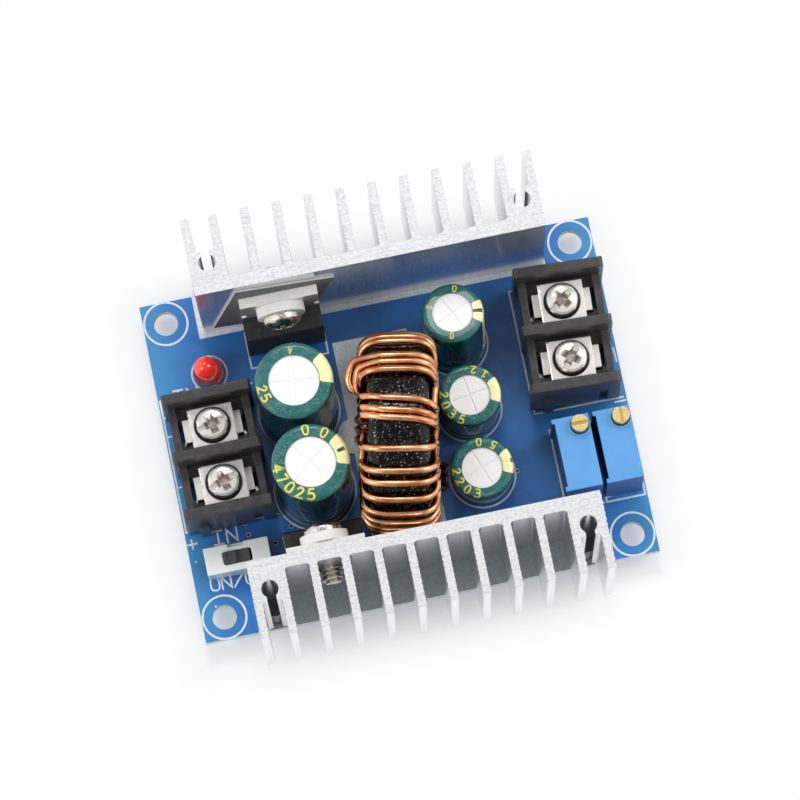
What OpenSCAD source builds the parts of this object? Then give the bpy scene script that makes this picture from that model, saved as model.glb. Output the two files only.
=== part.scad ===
// Adjustable step-down power converter board with two finned heatsinks.
// Millimetres, +Z up. The origin is the centre of the mounting holes on the board's underside.

/* [Circuit board] */
// Length of the board along X
board_w = 60; // [60:0.1:80]
// Depth of the board along Y
board_d = 45.3; // [45.3:0.1:60]
// Thickness of the board
board_t = 1.6; // [0.8:0.1:2.4]
// Diameter of a mounting hole
hole_d = 3.2; // [2.2:0.1:3.6]
// Mounting hole to the short edge
hole_edge_x = 3; // [2.4:0.1:3.4]
// Mounting hole to the long edge
hole_edge_y = 2.85; // [2.4:0.1:3.4]
// How far cut leads stand below the board
tail = 2; // [1.8:0.1:3]
// Gap between a lead and the wall of its hole
lead_gap = 0.15; // [0.1:0.05:0.25]
// Gap between pieces that are pressed or glued together
seat_gap = 0.02; // [0.01:0.01:0.05]

/* [Heatsinks] */
// Height of the cut extrusion
sink_h = 23; // [19:0.5:30]
// Inner face to fin tips
sink_depth = 10; // [8:0.1:14]
// Thickness of the back plate
plate_t = 1.7; // [1.2:0.1:2.4]
// Thickness of a fin
fin_t = 0.95; // [0.7:0.05:1.05]
// Number of open channels between the two pin bosses
fin_channels = 9; // [7:1:11]
// Spacing of the fins
fin_pitch = 4.13; // [4.1:0.01:4.6]
// Spacing of the two fins that flank a pin boss
end_pitch = 3.6; // [3.4:0.05:4.2]
// Height of the ripples on a fin
ripple_h = 0.1; // [0.05:0.01:0.14]
// Spacing of the ripples
ripple_pitch = 0.7; // [0.5:0.05:1.2]
// Fillet at the root of a channel
root_r = 0.4; // [0.2:0.05:0.6]
// Inner face to the far side of a pin boss
boss_depth = 5.5; // [5.2:0.1:6.5]
// Diameter of the round pin channel
key_d = 2.2; // [1.8:0.1:2.4]
// Inner face to the centre of the pin channel
key_y = 3.95; // [3.4:0.05:4.2]
// Width of the slot that opens the pin channel
key_slot = 1.2; // [0.8:0.1:1.6]
// How far a pin is pressed up its channel
pin_grip = 7; // [4:0.5:12]
// Diameter of a pin where it is soldered
pin_tail_d = 1.2; // [1:0.1:1.6]
// Extra length of a pin, which the part stands on
pin_foot = 0.4; // [0.2:0.1:1]
// Inner face of the front heatsink along Y
front_sink_y = -17.05; // [-17.6:0.05:-17]
// Inner face of the rear heatsink along Y
rear_sink_y = 17.65; // [17.4:0.05:18]
// Sideways shift of the rear heatsink
rear_sink_x = 0.35; // [-1:0.05:1]

/* [Power transistors] */
// Width of the metal tab and the case
tab_w = 10.16; // [9.8:0.01:10.6]
// Thickness of the metal tab
tab_t = 1.3; // [1.1:0.05:1.4]
// Tab length above the case
tab_h = 6.4; // [6:0.1:6.8]
// Case thickness with the tab
case_t = 4.5; // [4.2:0.1:4.7]
// Height of the moulded case
case_h = 9.2; // [8.5:0.1:9.4]
// Case above the board
case_lift = 1.6; // [1.2:0.1:3]
// Hole in the tab
tab_hole_d = 3.7; // [3.5:0.05:4]
// Hole centre to the tab's top edge
tab_hole_top = 2.8; // [2.6:0.1:3]
// Spacing of the leads
lead_pitch = 2.54; // [2.4:0.02:2.6]
// Width of a lead
lead_w = 0.8; // [0.6:0.05:0.9]
// Thickness of a lead
lead_t = 0.5; // [0.4:0.05:0.6]
// Back of the tab to the middle of the leads
lead_back = 2.6; // [2.2:0.1:2.8]
// Channel of the heatsink that takes the screw's end
screw_channel = 1; // [1:1:3]

/* [Insulators and tab screws] */
// Width of an insulating pad
pad_w = 13; // [11:0.5:15]
// Thickness of an insulating pad
pad_t = 0.3; // [0.2:0.05:0.5]
// Pad above the screw
pad_above = 5.9; // [4.5:0.1:6.5]
// Turn of the rear pad about its screw
rear_pad_turn = 11.2; // [0:0.1:14]
// Diameter of the bush flange
bush_d = 6.2; // [5.6:0.1:7]
// Thickness of the bush flange
bush_t = 1.3; // [0.8:0.1:1.6]
// Wall of the bush between the screw and the tab
bush_wall = 0.25; // [0.2:0.05:0.3]
// Diameter of the screw
screw_d = 2.9; // [2.5:0.1:2.95]
// Diameter of the screw head
screw_head_d = 5; // [4.5:0.1:5.5]
// Height of the screw head
screw_head_h = 1.7; // [1.4:0.1:2]
// Screw end past the plate
screw_out = 1.85; // [0.5:0.05:3]

/* [Inductor] */
// Outside diameter of the coated ring core
core_od = 23.9; // [22:0.1:24.5]
// Inside diameter of the core
core_id = 13.6; // [12.8:0.1:14.5]
// Width of the core along its axis
core_w = 7.9; // [7:0.1:8]
// Radius of the core's edges
core_edge_r = 1.5; // [1:0.1:1.7]
// Diameter of the enamelled wire
wire_d = 0.95; // [0.7:0.05:0.96]
// Gap between the wire and the core
wire_gap = 0.04; // [0.03:0.01:0.1]
// Number of turns
turns = 11; // [8:1:11]
// Angle from one turn to the next
turn_pitch = 32.6; // [30:0.1:32.6]
// Angle between the parallel strands inside the ring
strand_pitch = 9.2; // [8.9:0.1:10]
// Angle between the strands where a turn lies close on the rim
tight_pitch = 7.2; // [7:0.1:9.2]
// Angle between the strands where a turn lies loose on the rim
loose_pitch = 11; // [9.2:0.1:11.4]
// Parallel strands
strands = 3; // [2:1:3]
// Angle of the last turn, from the front over the top
last_turn = 255; // [252:0.5:258]
// Angle that the leaning turn crosses on the rim
wire_slant = 5; // [0:0.5:6]
// Ring centre along X
core_x = -0.33; // [-0.6:0.01:-0.3]
// Ring centre along Y
core_y = -3.1; // [-3.3:0.05:-2.8]
// Turn of the ring on the board
core_turn = 10.2; // [9:0.1:11]
// Spacing of the lead holes
wire_hole_pitch = 1.3; // [1.2:0.05:1.5]
// Coil side to the lead holes
wire_hole_out = 0.6; // [0.4:0.05:0.8]

/* [Capacitors] */
// Diameter of the input capacitors
in_cap_d = 10; // [8:0.1:10.3]
// Height of the input capacitors
in_cap_h = 20; // [12:0.5:25]
// Place of the input capacitors along X
in_cap_x = -12.2; // [-12.3:0.05:-11.9]
// Spacing of the input capacitors
in_cap_pitch = 10.7; // [10.5:0.05:11]
// Middle of the input capacitors along Y
in_cap_mid = -0.42; // [-0.6:0.02:0]
// Lead spacing of the input capacitors
in_cap_leads = 5; // [3.5:0.5:5]
// Diameter of the output capacitors
out_cap_d = 8; // [6.3:0.1:8]
// Height of the output capacitors
out_cap_h = 13; // [11:0.5:20]
// Place of the output capacitors along X
out_cap_x = 9.5; // [9.5:0.05:11]
// Spacing of the output capacitors
out_cap_pitch = 8.9; // [8.5:0.05:9]
// Middle of the output capacitors along Y
out_cap_mid = 0.65; // [0.4:0.05:0.8]
// Lead spacing of the output capacitors
out_cap_leads = 3.5; // [2.5:0.5:3.5]
// Lean of the rear output capacitor, positive to the rear
out_cap_lean_rear = 6; // [4:0.1:8]
// Lean of the middle output capacitor
out_cap_lean_mid = -3.3; // [-4:0.1:0]
// Lean of the front output capacitor
out_cap_lean_front = -6.3; // [-8:0.1:-3]
// Sideways lean of the front output capacitor, positive to the right
out_cap_side_front = -1.6; // [-2:0.1:2]
// Board to the bottom of a capacitor
cap_lift = 0.7; // [0.7:0.1:1.5]
// Thickness of the plastic sleeve
sleeve_t = 0.2; // [0.1:0.05:0.3]
// Bare part of the can's top, as a share of its diameter
vent_share = 0.65; // [0.5:0.01:0.75]
// Rounding of the can's top edge
can_edge_r = 0.5; // [0.4:0.1:1.2]
// Height of the crimp groove
crimp_z = 2.6; // [2.2:0.1:4]
// Diameter of the capacitor leads
cap_lead_d = 0.6; // [0.5:0.05:0.8]

/* [Barrier terminals] */
// Spacing of the two ways
way_pitch = 7.62; // [7.6:0.01:8.5]
// Length of a barrier across a terminal block
block_w = 11.7; // [11.5:0.1:12.4]
// Reach of a barrier past the block's sides
barrier_out = 0.5; // [0.2:0.1:0.7]
// Height of the barriers above the board
block_h = 12; // [11:0.1:14]
// Thickness of a barrier
barrier_t = 1.3; // [1:0.1:1.6]
// Floor of a way above the board
way_floor = 7; // [6.6:0.1:8]
// Height of the ledge over the floor
ledge_h = 1.3; // [0.8:0.1:2]
// Thickness of the ledge wall
ledge_t = 1; // [0.8:0.1:1.2]
// Middle of the input block along X
in_block_x = -23.55; // [-24:0.05:-23.5]
// Middle of the input block along Y
in_block_y = -0.15; // [-0.3:0.05:0.3]
// Middle of the output block along X
out_block_x = 23.65; // [23.4:0.05:23.8]
// Middle of the output block along Y
out_block_y = 6.7; // [6.3:0.1:7.2]
// Turn of the output block on its pins
out_block_turn = -3; // [-4:0.1:0]
// Length of a contact between its legs
contact_l = 7.6; // [7.2:0.1:8]
// Width of a contact
contact_w = 3; // [2.6:0.1:3.4]
// Thickness of a contact
contact_t = 0.8; // [0.6:0.1:1]
// Length of a clamp plate along X
clamp_l = 5.8; // [5.4:0.1:6.2]
// Width of a clamp plate along Y
clamp_w = 5; // [4.8:0.1:5.4]
// Thickness of a clamp plate
clamp_t = 1; // [0.8:0.1:1.2]
// Diameter of the cup in a clamp plate
cup_d = 4.8; // [4.6:0.05:4.9]
// Depth of the cup
cup_z = 0.5; // [0.3:0.05:0.6]
// Diameter of a clamp screw
clamp_screw_d = 2.9; // [2.5:0.1:3]
// Head diameter of a clamp screw
clamp_head_d = 4.2; // [3.9:0.1:4.3]
// Head height of a clamp screw
clamp_head_h = 1.8; // [1.5:0.1:2.2]
// Length of a clamp screw under its head
clamp_screw_l = 6.5; // [5.5:0.1:7]
// Running clearance round a clamp screw
screw_clear = 0.1; // [0.05:0.01:0.2]

/* [Lamp] */
// Diameter of the lens
led_d = 3; // [2.8:0.1:3.2]
// Diameter of the lens flange
led_flange_d = 3.8; // [3.6:0.1:4.2]
// Height of the lens
led_h = 5.3; // [4.6:0.1:6]
// Place of the lamp along X
led_x = -22.69; // [-24:0.01:-22]
// Place of the lamp along Y
led_y = 12.15; // [11.6:0.01:12.8]
// Lean of the lamp to the left
led_lean = 5.5; // [0:0.5:8]
// Lamp above the board
led_lift = 0.5; // [0.4:0.1:1.5]

/* [Slide switch] */
// Length of the switch
switch_w = 8.5; // [8:0.1:9]
// Depth of the switch
switch_d = 3.6; // [3.3:0.1:3.8]
// Height of the switch
switch_h = 4; // [3.4:0.1:4.6]
// Sheet thickness of the switch frame
switch_sheet = 0.3; // [0.2:0.05:0.4]
// Place of the switch along X
switch_x = -23.75; // [-24.4:0.05:-23.4]
// Place of the switch along Y
switch_y = -12.95; // [-13.4:0.05:-12.6]
// Width of the sliding knob
knob_w = 1.6; // [1.4:0.1:1.8]
// Depth of the sliding knob
knob_d = 1.55; // [1.3:0.05:1.7]
// Knob above the frame
knob_up = 0.4; // [0.1:0.1:2]
// Travel of the knob
knob_travel = 2; // [1.5:0.1:2.2]
// Clearance round the slider
knob_clear = 0.1; // [0.05:0.01:0.15]

/* [Trimmers] */
// Width of a trimmer
trim_w = 4.83; // [4.6:0.01:5]
// Depth of a trimmer
trim_d = 9.53; // [9.2:0.01:9.8]
// Height of a trimmer above the board
trim_h = 10.2; // [9:0.1:11]
// Gap between the two trimmers
trim_gap = 0.54; // [0.2:0.02:1]
// Left side of the right trimmer along X
right_trim_x = 24.54; // [24:0.02:24.8]
// Front of the trimmers along Y
trim_front = -14.32; // [-15:0.02:-14]
// Diameter of the adjusting screw
trim_screw_d = 2.2; // [1.9:0.1:2.3]
// Adjusting screw above the housing
trim_screw_up = 1.5; // [1:0.1:2]
// Screw centre to the nearest faces
trim_screw_in = 1.35; // [1.3:0.05:1.6]
// Depth of the recesses in the long sides
trim_recess = 0.35; // [0.1:0.05:0.4]

/* [Parts under the board] */
// Length of the controller chip
pwm_w = 9.9; // [9.6:0.1:10.2]
// Length of the amplifier chip
amp_w = 4.9; // [4.7:0.1:5.1]
// Width of the chip bodies
chip_d = 3.9; // [3.7:0.1:4.1]
// Height of the chip bodies
chip_h = 1.4; // [1.2:0.1:1.5]
// Length of a current-sense resistor
shunt_w = 6.3; // [6:0.1:6.6]
// Length of the small resistors and capacitors
small_w = 2; // [1.6:0.1:2.2]
// Width of the small resistors and capacitors
small_d = 1.25; // [0.8:0.05:1.4]

/* [Hidden] */
$fn = 48;

// Reach past a face in a cut
cut = 1;
// Distance a square-edged lead's corners stand out, against its round hole
lead_hole_d = norm([lead_w, lead_t]) + 2 * lead_gap;

// Heatsink places
sink_end_x = fin_channels / 2 * fin_pitch + end_pitch;
sink_len = 2 * sink_end_x + fin_t;
key_x = sink_end_x - end_pitch / 2;
// Transistor places, against the sink: x of the screw, and its height
channel_x = (screw_channel + 0.5 - fin_channels / 2) * fin_pitch;
screw_z = board_t + case_lift + case_h + tab_h - tab_hole_top;
// Pad length below the screw, ending just over the board
pad_floor = 0.25;
bush_shoulder_d = tab_hole_d - 2 * seat_gap;
bush_bore_d = bush_shoulder_d - 2 * bush_wall;

// Inductor: middle of the wire in the ring's section
wire_off = wire_d / 2 + wire_gap;
coil_half = core_w / 2 + wire_off;
coil_out = core_od / 2 + wire_off;
coil_in = core_id / 2 - wire_off;
coil_corner_r = core_edge_r + wire_off;
ring_z = board_t + coil_out + wire_d / 2 + wire_gap;
wire_side = coil_half + wire_d / 2 + wire_hole_out;
wire_sides = 6;

// Capacitor places
in_cap_y = [for (s = [1, -1]) in_cap_mid + s * in_cap_pitch / 2];
out_cap_y = [for (s = [1, 0, -1]) out_cap_mid + s * out_cap_pitch];
out_cap_lean = [out_cap_lean_rear, out_cap_lean_mid, out_cap_lean_front];
out_cap_side = [0, 0, out_cap_side_front];

// Terminal places
block_d = 2 * way_pitch + barrier_t;
body_w = block_w - 2 * barrier_out;
way_y = [-way_pitch / 2, way_pitch / 2];
contact_top = board_t + way_floor + contact_t;
clamp_seat = contact_top + seat_gap;
head_seat = clamp_seat + clamp_t - cup_z + seat_gap;
pin_w = 1.2;
contact_pin_x = contact_l / 2 - contact_t / 2;

// Trimmer places
left_trim_x = right_trim_x - trim_gap - trim_w;
trim_pin_d = 0.5;
trim_pin_in = 2.2;

// Lamp and switch leads
led_lead = 0.5;
led_pitch = 2.54;
switch_pin_pitch = 2.5;
switch_pin = 0.6;
switch_foot = 0.8;
knob_x = switch_x - knob_travel / 2;

// Under-board layout
small_h = 0.9;
chip_leg = 0.4;
chip_leg_pitch = 1.27;
pwm_place = [0.5, 9.2];
amp_place = [15.6, -10.6];
shunt_place = [[0.6, -1.6], [-1.3, -5.6]];
shunt_d = 3.2;
resistor_start = [14.2, -3.6];
resistor_pitch = 2.2;
resistor_place = [for (i = [0 : 5]) resistor_start + [0, i * resistor_pitch]];
capacitor_start = [-4.6, 15.2];
capacitor_pitch = 3.4;
capacitor_place = [for (i = [0 : 3]) capacitor_start + [i * capacitor_pitch, 0]];

// Lead places as [x, y, hole diameter]
function turned(p, a) = [p[0] * cos(a) - p[1] * sin(a), p[0] * sin(a) + p[1] * cos(a)];
function cap_holes(x, y, pitch) = [for (s = [-1, 1]) [x + s * pitch / 2, y, cap_lead_d + 2 * lead_gap]];
function block_holes(x, y, turn) = [
    for (w = way_y, s = [-1, 1])
        concat([x, y] + turned([s * contact_pin_x, w], turn), norm([contact_t, pin_w]) + 2 * lead_gap)
];
function ring_to_board(w, y) = [core_x, core_y] + turned([w, y], -core_turn);
function wire_hole(end, s) = ring_to_board(
    (end == 0 ? 1 : -1) * wire_side,
    (end == 0 ? wire_start_y : wire_end_y) - (s - (strands - 1) / 2) * wire_hole_pitch
);
wire_start_y = -(coil_out - coil_corner_r) * cos(last_turn - (turns - 1) * turn_pitch);
wire_end_y = -coil_out * cos(last_turn);
pin_holes = [
    for (s = [-1, 1]) [s * key_x, front_sink_y - key_y, pin_tail_d + 2 * lead_gap],
    for (s = [-1, 1]) [rear_sink_x + s * key_x, rear_sink_y + key_y, pin_tail_d + 2 * lead_gap]
];
transistor_holes = [
    for (i = [-1 : 1]) [channel_x + i * lead_pitch, front_sink_y + pad_t + lead_back, lead_hole_d],
    for (i = [-1 : 1]) [rear_sink_x + channel_x + i * lead_pitch, rear_sink_y - pad_t - lead_back, lead_hole_d]
];
all_cap_holes = [
    for (y = in_cap_y) each cap_holes(in_cap_x, y, in_cap_leads),
    for (y = out_cap_y) each cap_holes(out_cap_x, y, out_cap_leads)
];
terminal_holes = concat(
    block_holes(in_block_x, in_block_y, 0),
    block_holes(out_block_x, out_block_y, out_block_turn)
);
led_holes = [for (s = [-1, 1]) [led_x, led_y + s * led_pitch / 2, led_lead * sqrt(2) + 2 * lead_gap]];
switch_holes = [
    for (i = [-1 : 1]) [switch_x + i * switch_pin_pitch, switch_y, switch_pin * sqrt(2) + 2 * lead_gap]
];
trim_holes = [
    for (x = [left_trim_x, right_trim_x], i = [-1 : 1])
        [x + trim_pin_in, trim_front + trim_d / 2 + i * lead_pitch, trim_pin_d + 2 * lead_gap]
];
wire_holes = [for (e = [0, 1], s = [0 : strands - 1]) concat(wire_hole(e, s), wire_d + 2 * lead_gap)];
single_holes = concat(
    pin_holes, transistor_holes, all_cap_holes, terminal_holes, led_holes, switch_holes, trim_holes
);
lead_holes = concat(single_holes, wire_holes);

// Rectangular bar that stands on its middle
module post(w, d, h) {
    translate([-w / 2, -d / 2, 0]) cube([w, d, h]);
}

// Upright bar with rounded corners that stands on its middle
module round_post(w, d, h, r) {
    linear_extrude(h) union() {
        square([w - 2 * r, d], center = true);
        square([w, d - 2 * r], center = true);
        for (sx = [-1, 1], sy = [-1, 1]) translate([sx * (w / 2 - r), sy * (d / 2 - r)]) circle(r = r);
    }
}

// Places children against a heatsink, with +Y pointing inwards from its inner face
module at_front_sink() {
    translate([0, front_sink_y, 0]) children();
}

module at_rear_sink() {
    translate([rear_sink_x, rear_sink_y, 0]) mirror([0, 1, 0]) children();
}

// Glass-fibre board, drilled for its mounting screws and for every lead
module circuit_board() {
    color("royalblue") difference() {
        translate([-board_w / 2, -board_d / 2, 0]) cube([board_w, board_d, board_t]);
        for (sx = [-1, 1], sy = [-1, 1])
            translate([sx * (board_w / 2 - hole_edge_x), sy * (board_d / 2 - hole_edge_y), -cut])
                cylinder(d = hole_d, h = board_t + 2 * cut);
        for (p = lead_holes)
            translate([p[0], p[1], -cut]) cylinder(d = p[2], h = board_t + 2 * cut);
    }
}

// Cone of solder round each lead, drawn up towards the lead's cut end
solder_land = 0.42;
solder_h = 1.3;
solder_tip = 0.3;
module solder_cone(d) {
    difference() {
        translate([0, 0, -solder_h]) cylinder(d1 = d + 2 * solder_tip, d2 = d + 2 * solder_land, h = solder_h);
        translate([0, 0, -solder_h - cut]) cylinder(d = d, h = solder_h + 2 * cut);
    }
}

module solder_joints() {
    color("silver") {
        for (p = single_holes)
            translate([p[0], p[1], 0]) solder_cone(p[2] - 2 * lead_gap + 2 * seat_gap);
        for (e = [0, 1]) {
            middle = (wire_hole(e, 0) + wire_hole(e, strands - 1)) / 2;
            reach = norm(wire_hole(e, 0) - middle) + wire_d;
            difference() {
                translate([middle[0], middle[1], -solder_h])
                    cylinder(r1 = reach, r2 = reach + solder_tip, h = solder_h);
                for (s = [0 : strands - 1])
                    translate([wire_hole(e, s)[0], wire_hole(e, s)[1], -solder_h - cut])
                        cylinder(d = wire_d + 2 * seat_gap, h = solder_h + 2 * cut);
            }
        }
    }
}

// Extruded heatsink section: a plate, rippled fins and a pin boss at each end
fin_xs = [-sink_end_x, for (i = [0 : fin_channels]) (i - fin_channels / 2) * fin_pitch, sink_end_x];
fin_last = len(fin_xs) - 1;
function channel_floor(i) = i == 0 || i == fin_last - 1 ? boss_depth : plate_t;
function flank(x, side, floor_y) =
    let (
        foot = floor_y + root_r,
        waves = floor((sink_depth - foot) / ripple_pitch),
        step = (sink_depth - foot) / waves / 2
    )
    [for (k = [0 : 2 * waves]) [x + side * (fin_t / 2 + (k % 2 == 0 ? 0 : ripple_h)), foot + k * step]];
function root(x, side, floor_y) =
    [for (a = [90, 45, 0]) [x + side * (fin_t / 2 + root_r * (1 - sin(a))), floor_y + root_r * (1 - cos(a))]];
function backwards(list) = [for (k = [len(list) - 1 : -1 : 0]) list[k]];
function left_side(i) = i == 0
    ? flank(fin_xs[i], -1, 0)
    : concat(backwards(root(fin_xs[i], -1, channel_floor(i - 1))), flank(fin_xs[i], -1, channel_floor(i - 1)));
function right_side(i) = i == fin_last
    ? backwards(flank(fin_xs[i], 1, 0))
    : concat(backwards(flank(fin_xs[i], 1, channel_floor(i))), root(fin_xs[i], 1, channel_floor(i)));
sink_section = concat(
    [[-sink_len / 2, 0]],
    [for (i = [0 : fin_last]) each concat(left_side(i), right_side(i))],
    [[sink_len / 2, 0]]
);

module heatsink() {
    difference() {
        translate([0, 0, board_t]) linear_extrude(sink_h) mirror([0, 1]) polygon(sink_section);
        for (s = [-1, 1]) translate([s * key_x, -key_y, board_t - cut]) {
            cylinder(d = key_d, h = sink_h + 2 * cut);
            translate([-key_slot / 2, -boss_depth + key_y - cut, 0])
                cube([key_slot, boss_depth - key_y + cut, sink_h + 2 * cut]);
        }
        translate([channel_x, cut, screw_z]) rotate([90, 0, 0])
            cylinder(d = screw_d + 2 * seat_gap, h = plate_t + 2 * cut);
    }
}

module front_heatsink() {
    color("silver") at_front_sink() heatsink();
}

module rear_heatsink() {
    color("silver") at_rear_sink() heatsink();
}

// Pressed-in pins that are soldered to hold the heatsinks, and that the part stands on
module heatsink_pins() {
    color("gainsboro") for (p = pin_holes) translate([p[0], p[1], 0]) {
        translate([0, 0, -tail - pin_foot]) cylinder(d = pin_tail_d, h = tail + pin_foot + board_t);
        translate([0, 0, board_t]) cylinder(d = key_d - 2 * seat_gap, h = pin_grip);
    }
}

// Moulded transistor case in front of its tab, with bevelled edges and a shallow round mark
case_bevel = 0.6;
mark_d = 2.4;
mark_z = 0.15;
module transistor_case() {
    front = pad_t + case_t;
    back = pad_t + tab_t + seat_gap;
    low = board_t + case_lift;
    difference() {
        translate([channel_x - tab_w / 2, 0, 0]) rotate([90, 0, 90]) linear_extrude(tab_w)
            polygon([
                [back, low], [front - case_bevel / 2, low],
                [front, low + case_bevel], [front, low + case_h - case_bevel],
                [front - case_bevel / 2, low + case_h], [back, low + case_h]
            ]);
        translate([channel_x, front + cut, low + case_h / 2]) rotate([90, 0, 0])
            cylinder(d = mark_d, h = mark_z + cut);
    }
}

// Copper tab with notched sides, and the three leads
notch_d = 0.7;
notch_h = 1.4;
shoulder_w = 1.3;
module transistor_frame() {
    low = board_t + case_lift;
    top = low + case_h + tab_h;
    difference() {
        translate([channel_x - tab_w / 2, pad_t, low + case_bevel])
            cube([tab_w, tab_t, top - low - case_bevel]);
        translate([channel_x, pad_t - cut, top - tab_hole_top]) rotate([-90, 0, 0])
            cylinder(d = tab_hole_d, h = tab_t + 2 * cut);
        for (s = [-1, 1]) translate([channel_x + s * tab_w / 2, pad_t - cut, low + case_h + notch_h])
            rotate([-90, 0, 0]) cylinder(r = notch_d, h = tab_t + 2 * cut);
    }
    for (i = [-1 : 1]) translate([channel_x + i * lead_pitch, pad_t + lead_back, 0]) {
        translate([0, 0, -tail]) post(lead_w, lead_t, tail + board_t + case_lift - seat_gap);
        translate([0, 0, board_t + lead_gap]) post(shoulder_w, lead_t, case_lift - lead_gap - seat_gap);
    }
}

module front_transistor_case() {
    color("dimgray") at_front_sink() transistor_case();
}

module front_transistor_frame() {
    color("gainsboro") at_front_sink() transistor_frame();
}

module rear_transistor_case() {
    color("dimgray") at_rear_sink() transistor_case();
}

module rear_transistor_frame() {
    color("gainsboro") at_rear_sink() transistor_frame();
}

// Heat-conducting sheet between the tab and the heatsink
module insulating_pad(turn) {
    below = (screw_z - board_t - pad_floor - pad_w / 2 * abs(sin(turn))) / cos(turn);
    translate([channel_x, 0, screw_z]) rotate([0, turn, 0]) difference() {
        translate([-pad_w / 2, seat_gap, -below]) cube([pad_w, pad_t - 2 * seat_gap, below + pad_above]);
        translate([0, -cut, 0]) rotate([-90, 0, 0]) cylinder(d = tab_hole_d, h = pad_t + 2 * cut);
    }
}

module front_insulating_pad() {
    color("gray") at_front_sink() insulating_pad(0);
}

module rear_insulating_pad() {
    color("gray") at_rear_sink() insulating_pad(rear_pad_turn);
}

// White shoulder bush that keeps the screw off the tab
module shoulder_bush() {
    translate([channel_x, pad_t, screw_z]) rotate([-90, 0, 0]) difference() {
        union() {
            cylinder(d = bush_shoulder_d, h = tab_t + bush_t);
            translate([0, 0, tab_t + seat_gap]) cylinder(d = bush_d, h = bush_t - seat_gap);
        }
        translate([0, 0, -cut]) cylinder(d = bush_bore_d, h = tab_t + bush_t + 2 * cut);
    }
}

module shoulder_bushes() {
    color("white") {
        at_front_sink() shoulder_bush();
        at_rear_sink() shoulder_bush();
    }
}

// Cross recess cut down into a screw head
module cross_recess(reach, width, depth) {
    for (a = [0, 90]) rotate([0, 0, a]) translate([0, 0, -depth]) post(reach, width, depth + cut);
}

// Domed screw head that stands on its underside
module domed_head(d, h, edge) {
    dome_r = (pow(d / 2, 2) + pow(h - edge, 2)) / (2 * (h - edge));
    intersection() {
        cylinder(d = d, h = h);
        translate([0, 0, h - dome_r]) sphere(r = dome_r);
    }
}

// Screw that holds each transistor, threaded through the plate
head_edge = 0.7;
recess_w = 0.7;
recess_z = 1;
module tab_screw() {
    seat = pad_t + tab_t + bush_t + seat_gap;
    translate([channel_x, seat, screw_z]) rotate([-90, 0, 0]) {
        difference() {
            domed_head(screw_head_d, screw_head_h, head_edge);
            translate([0, 0, screw_head_h]) cross_recess(screw_head_d * 0.6, recess_w, recess_z);
        }
        translate([0, 0, -seat - plate_t - screw_out]) cylinder(d = screw_d, h = seat + plate_t + screw_out);
    }
}

module tab_screws() {
    color("lightgray") {
        at_front_sink() tab_screw();
        at_rear_sink() tab_screw();
    }
}

// Powder core on edge, its axis turned on the board
module on_ring() {
    translate([core_x, core_y, ring_z]) rotate([0, 0, -core_turn]) children();
}

module inductor_core() {
    half = core_w / 2;
    wall = (core_od - core_id) / 2;
    color("black") on_ring() rotate([0, 90, 0]) rotate_extrude($fn = 96) union() {
        translate([core_id / 2 + core_edge_r, -half]) square([wall - 2 * core_edge_r, core_w]);
        translate([core_id / 2, -half + core_edge_r]) square([wall, core_w - 2 * core_edge_r]);
        for (r = [core_id / 2 + core_edge_r, core_od / 2 - core_edge_r], s = [-1, 1])
            translate([r, s * (half - core_edge_r)]) circle(r = core_edge_r);
    }
}

// One strand of wire: each turn passes the four rounded corners of the core's section.
// A station is [place along the axis, radius, ring angle], with the angle from the front over the top.
// The stations of a corner lie outside its arc, so that the straight runs between them only touch it.
corner_steps = [11.25, 33.75, 56.25, 78.75];
corner_reach = coil_corner_r / cos(corner_steps[0]);
function corner(side, radius, a0, angle) = [
    for (a = corner_steps) [
        side * (coil_half - coil_corner_r) + corner_reach * cos(a0 + a),
        radius + corner_reach * sin(a0 + a),
        angle
    ]
];
// Shares of the turn pitch that a wire has advanced at its two corners inside the ring
inner_left = 0.34;
inner_right = 0.66;
function one_turn(rim, inside, lean) = concat(
    corner(1, coil_out - coil_corner_r, 0, rim - lean / 2),
    corner(-1, coil_out - coil_corner_r, 90, rim + lean / 2),
    corner(-1, coil_in + coil_corner_r, 180, inside + turn_pitch * inner_left),
    corner(1, coil_in + coil_corner_r, 270, inside + turn_pitch * inner_right)
);
// The turns lie a little unevenly, as a hand-wound coil's do: one leans, two lie close and two lie loose
uneven_by = 1;
uneven_step = 140;
leaning = 5;
close_turns = [5, 6];
loose_turns = [3, 4];
function holds(list, t) = len(search(t, list)) > 0;
function rim_pitch(t) = holds(close_turns, t) ? tight_pitch
    : holds(loose_turns, t) ? loose_pitch : strand_pitch;
function turn_angle(t) = last_turn - (turns - 1 - t) * turn_pitch
    + (t < turns - 1 ? uneven_by * sin(uneven_step * t) : 0);
function strand_stations(s) = let (k = s - (strands - 1) / 2) [
    for (t = [0 : turns - 1])
        let (middle = turn_angle(t))
        each one_turn(middle + k * rim_pitch(t), middle + k * strand_pitch, t == leaning ? wire_slant : 0)
];
function station_point(p) = [p[0], -p[1] * cos(p[2]), p[1] * sin(p[2])];
function station_along(p) = [0, sin(p[2]), cos(p[2])];
function to_local(q) = turned(q - [core_x, core_y], core_turn);
function lead_point(end, s, z) = let (q = to_local(wire_hole(end, s))) [q[0], q[1], z - ring_z];
last_corner = 2 * len(corner_steps);
function strand_path(s) =
    let (st = strand_stations(s), n = len(st) - last_corner, first = st[0], last = st[n - 1])
    let (rise = ring_z + station_point(first)[2] - wire_d)
    concat(
        [for (z = [-tail, rise]) [lead_point(0, s, z), station_along(first)]],
        [for (i = [0 : n - 2]) [station_point(st[i]), station_along(st[i])]],
        [for (z = [board_t + wire_d, -tail]) [lead_point(1, s, z), station_along(last)]]
    );
function unit(v) = v / norm(v);

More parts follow.
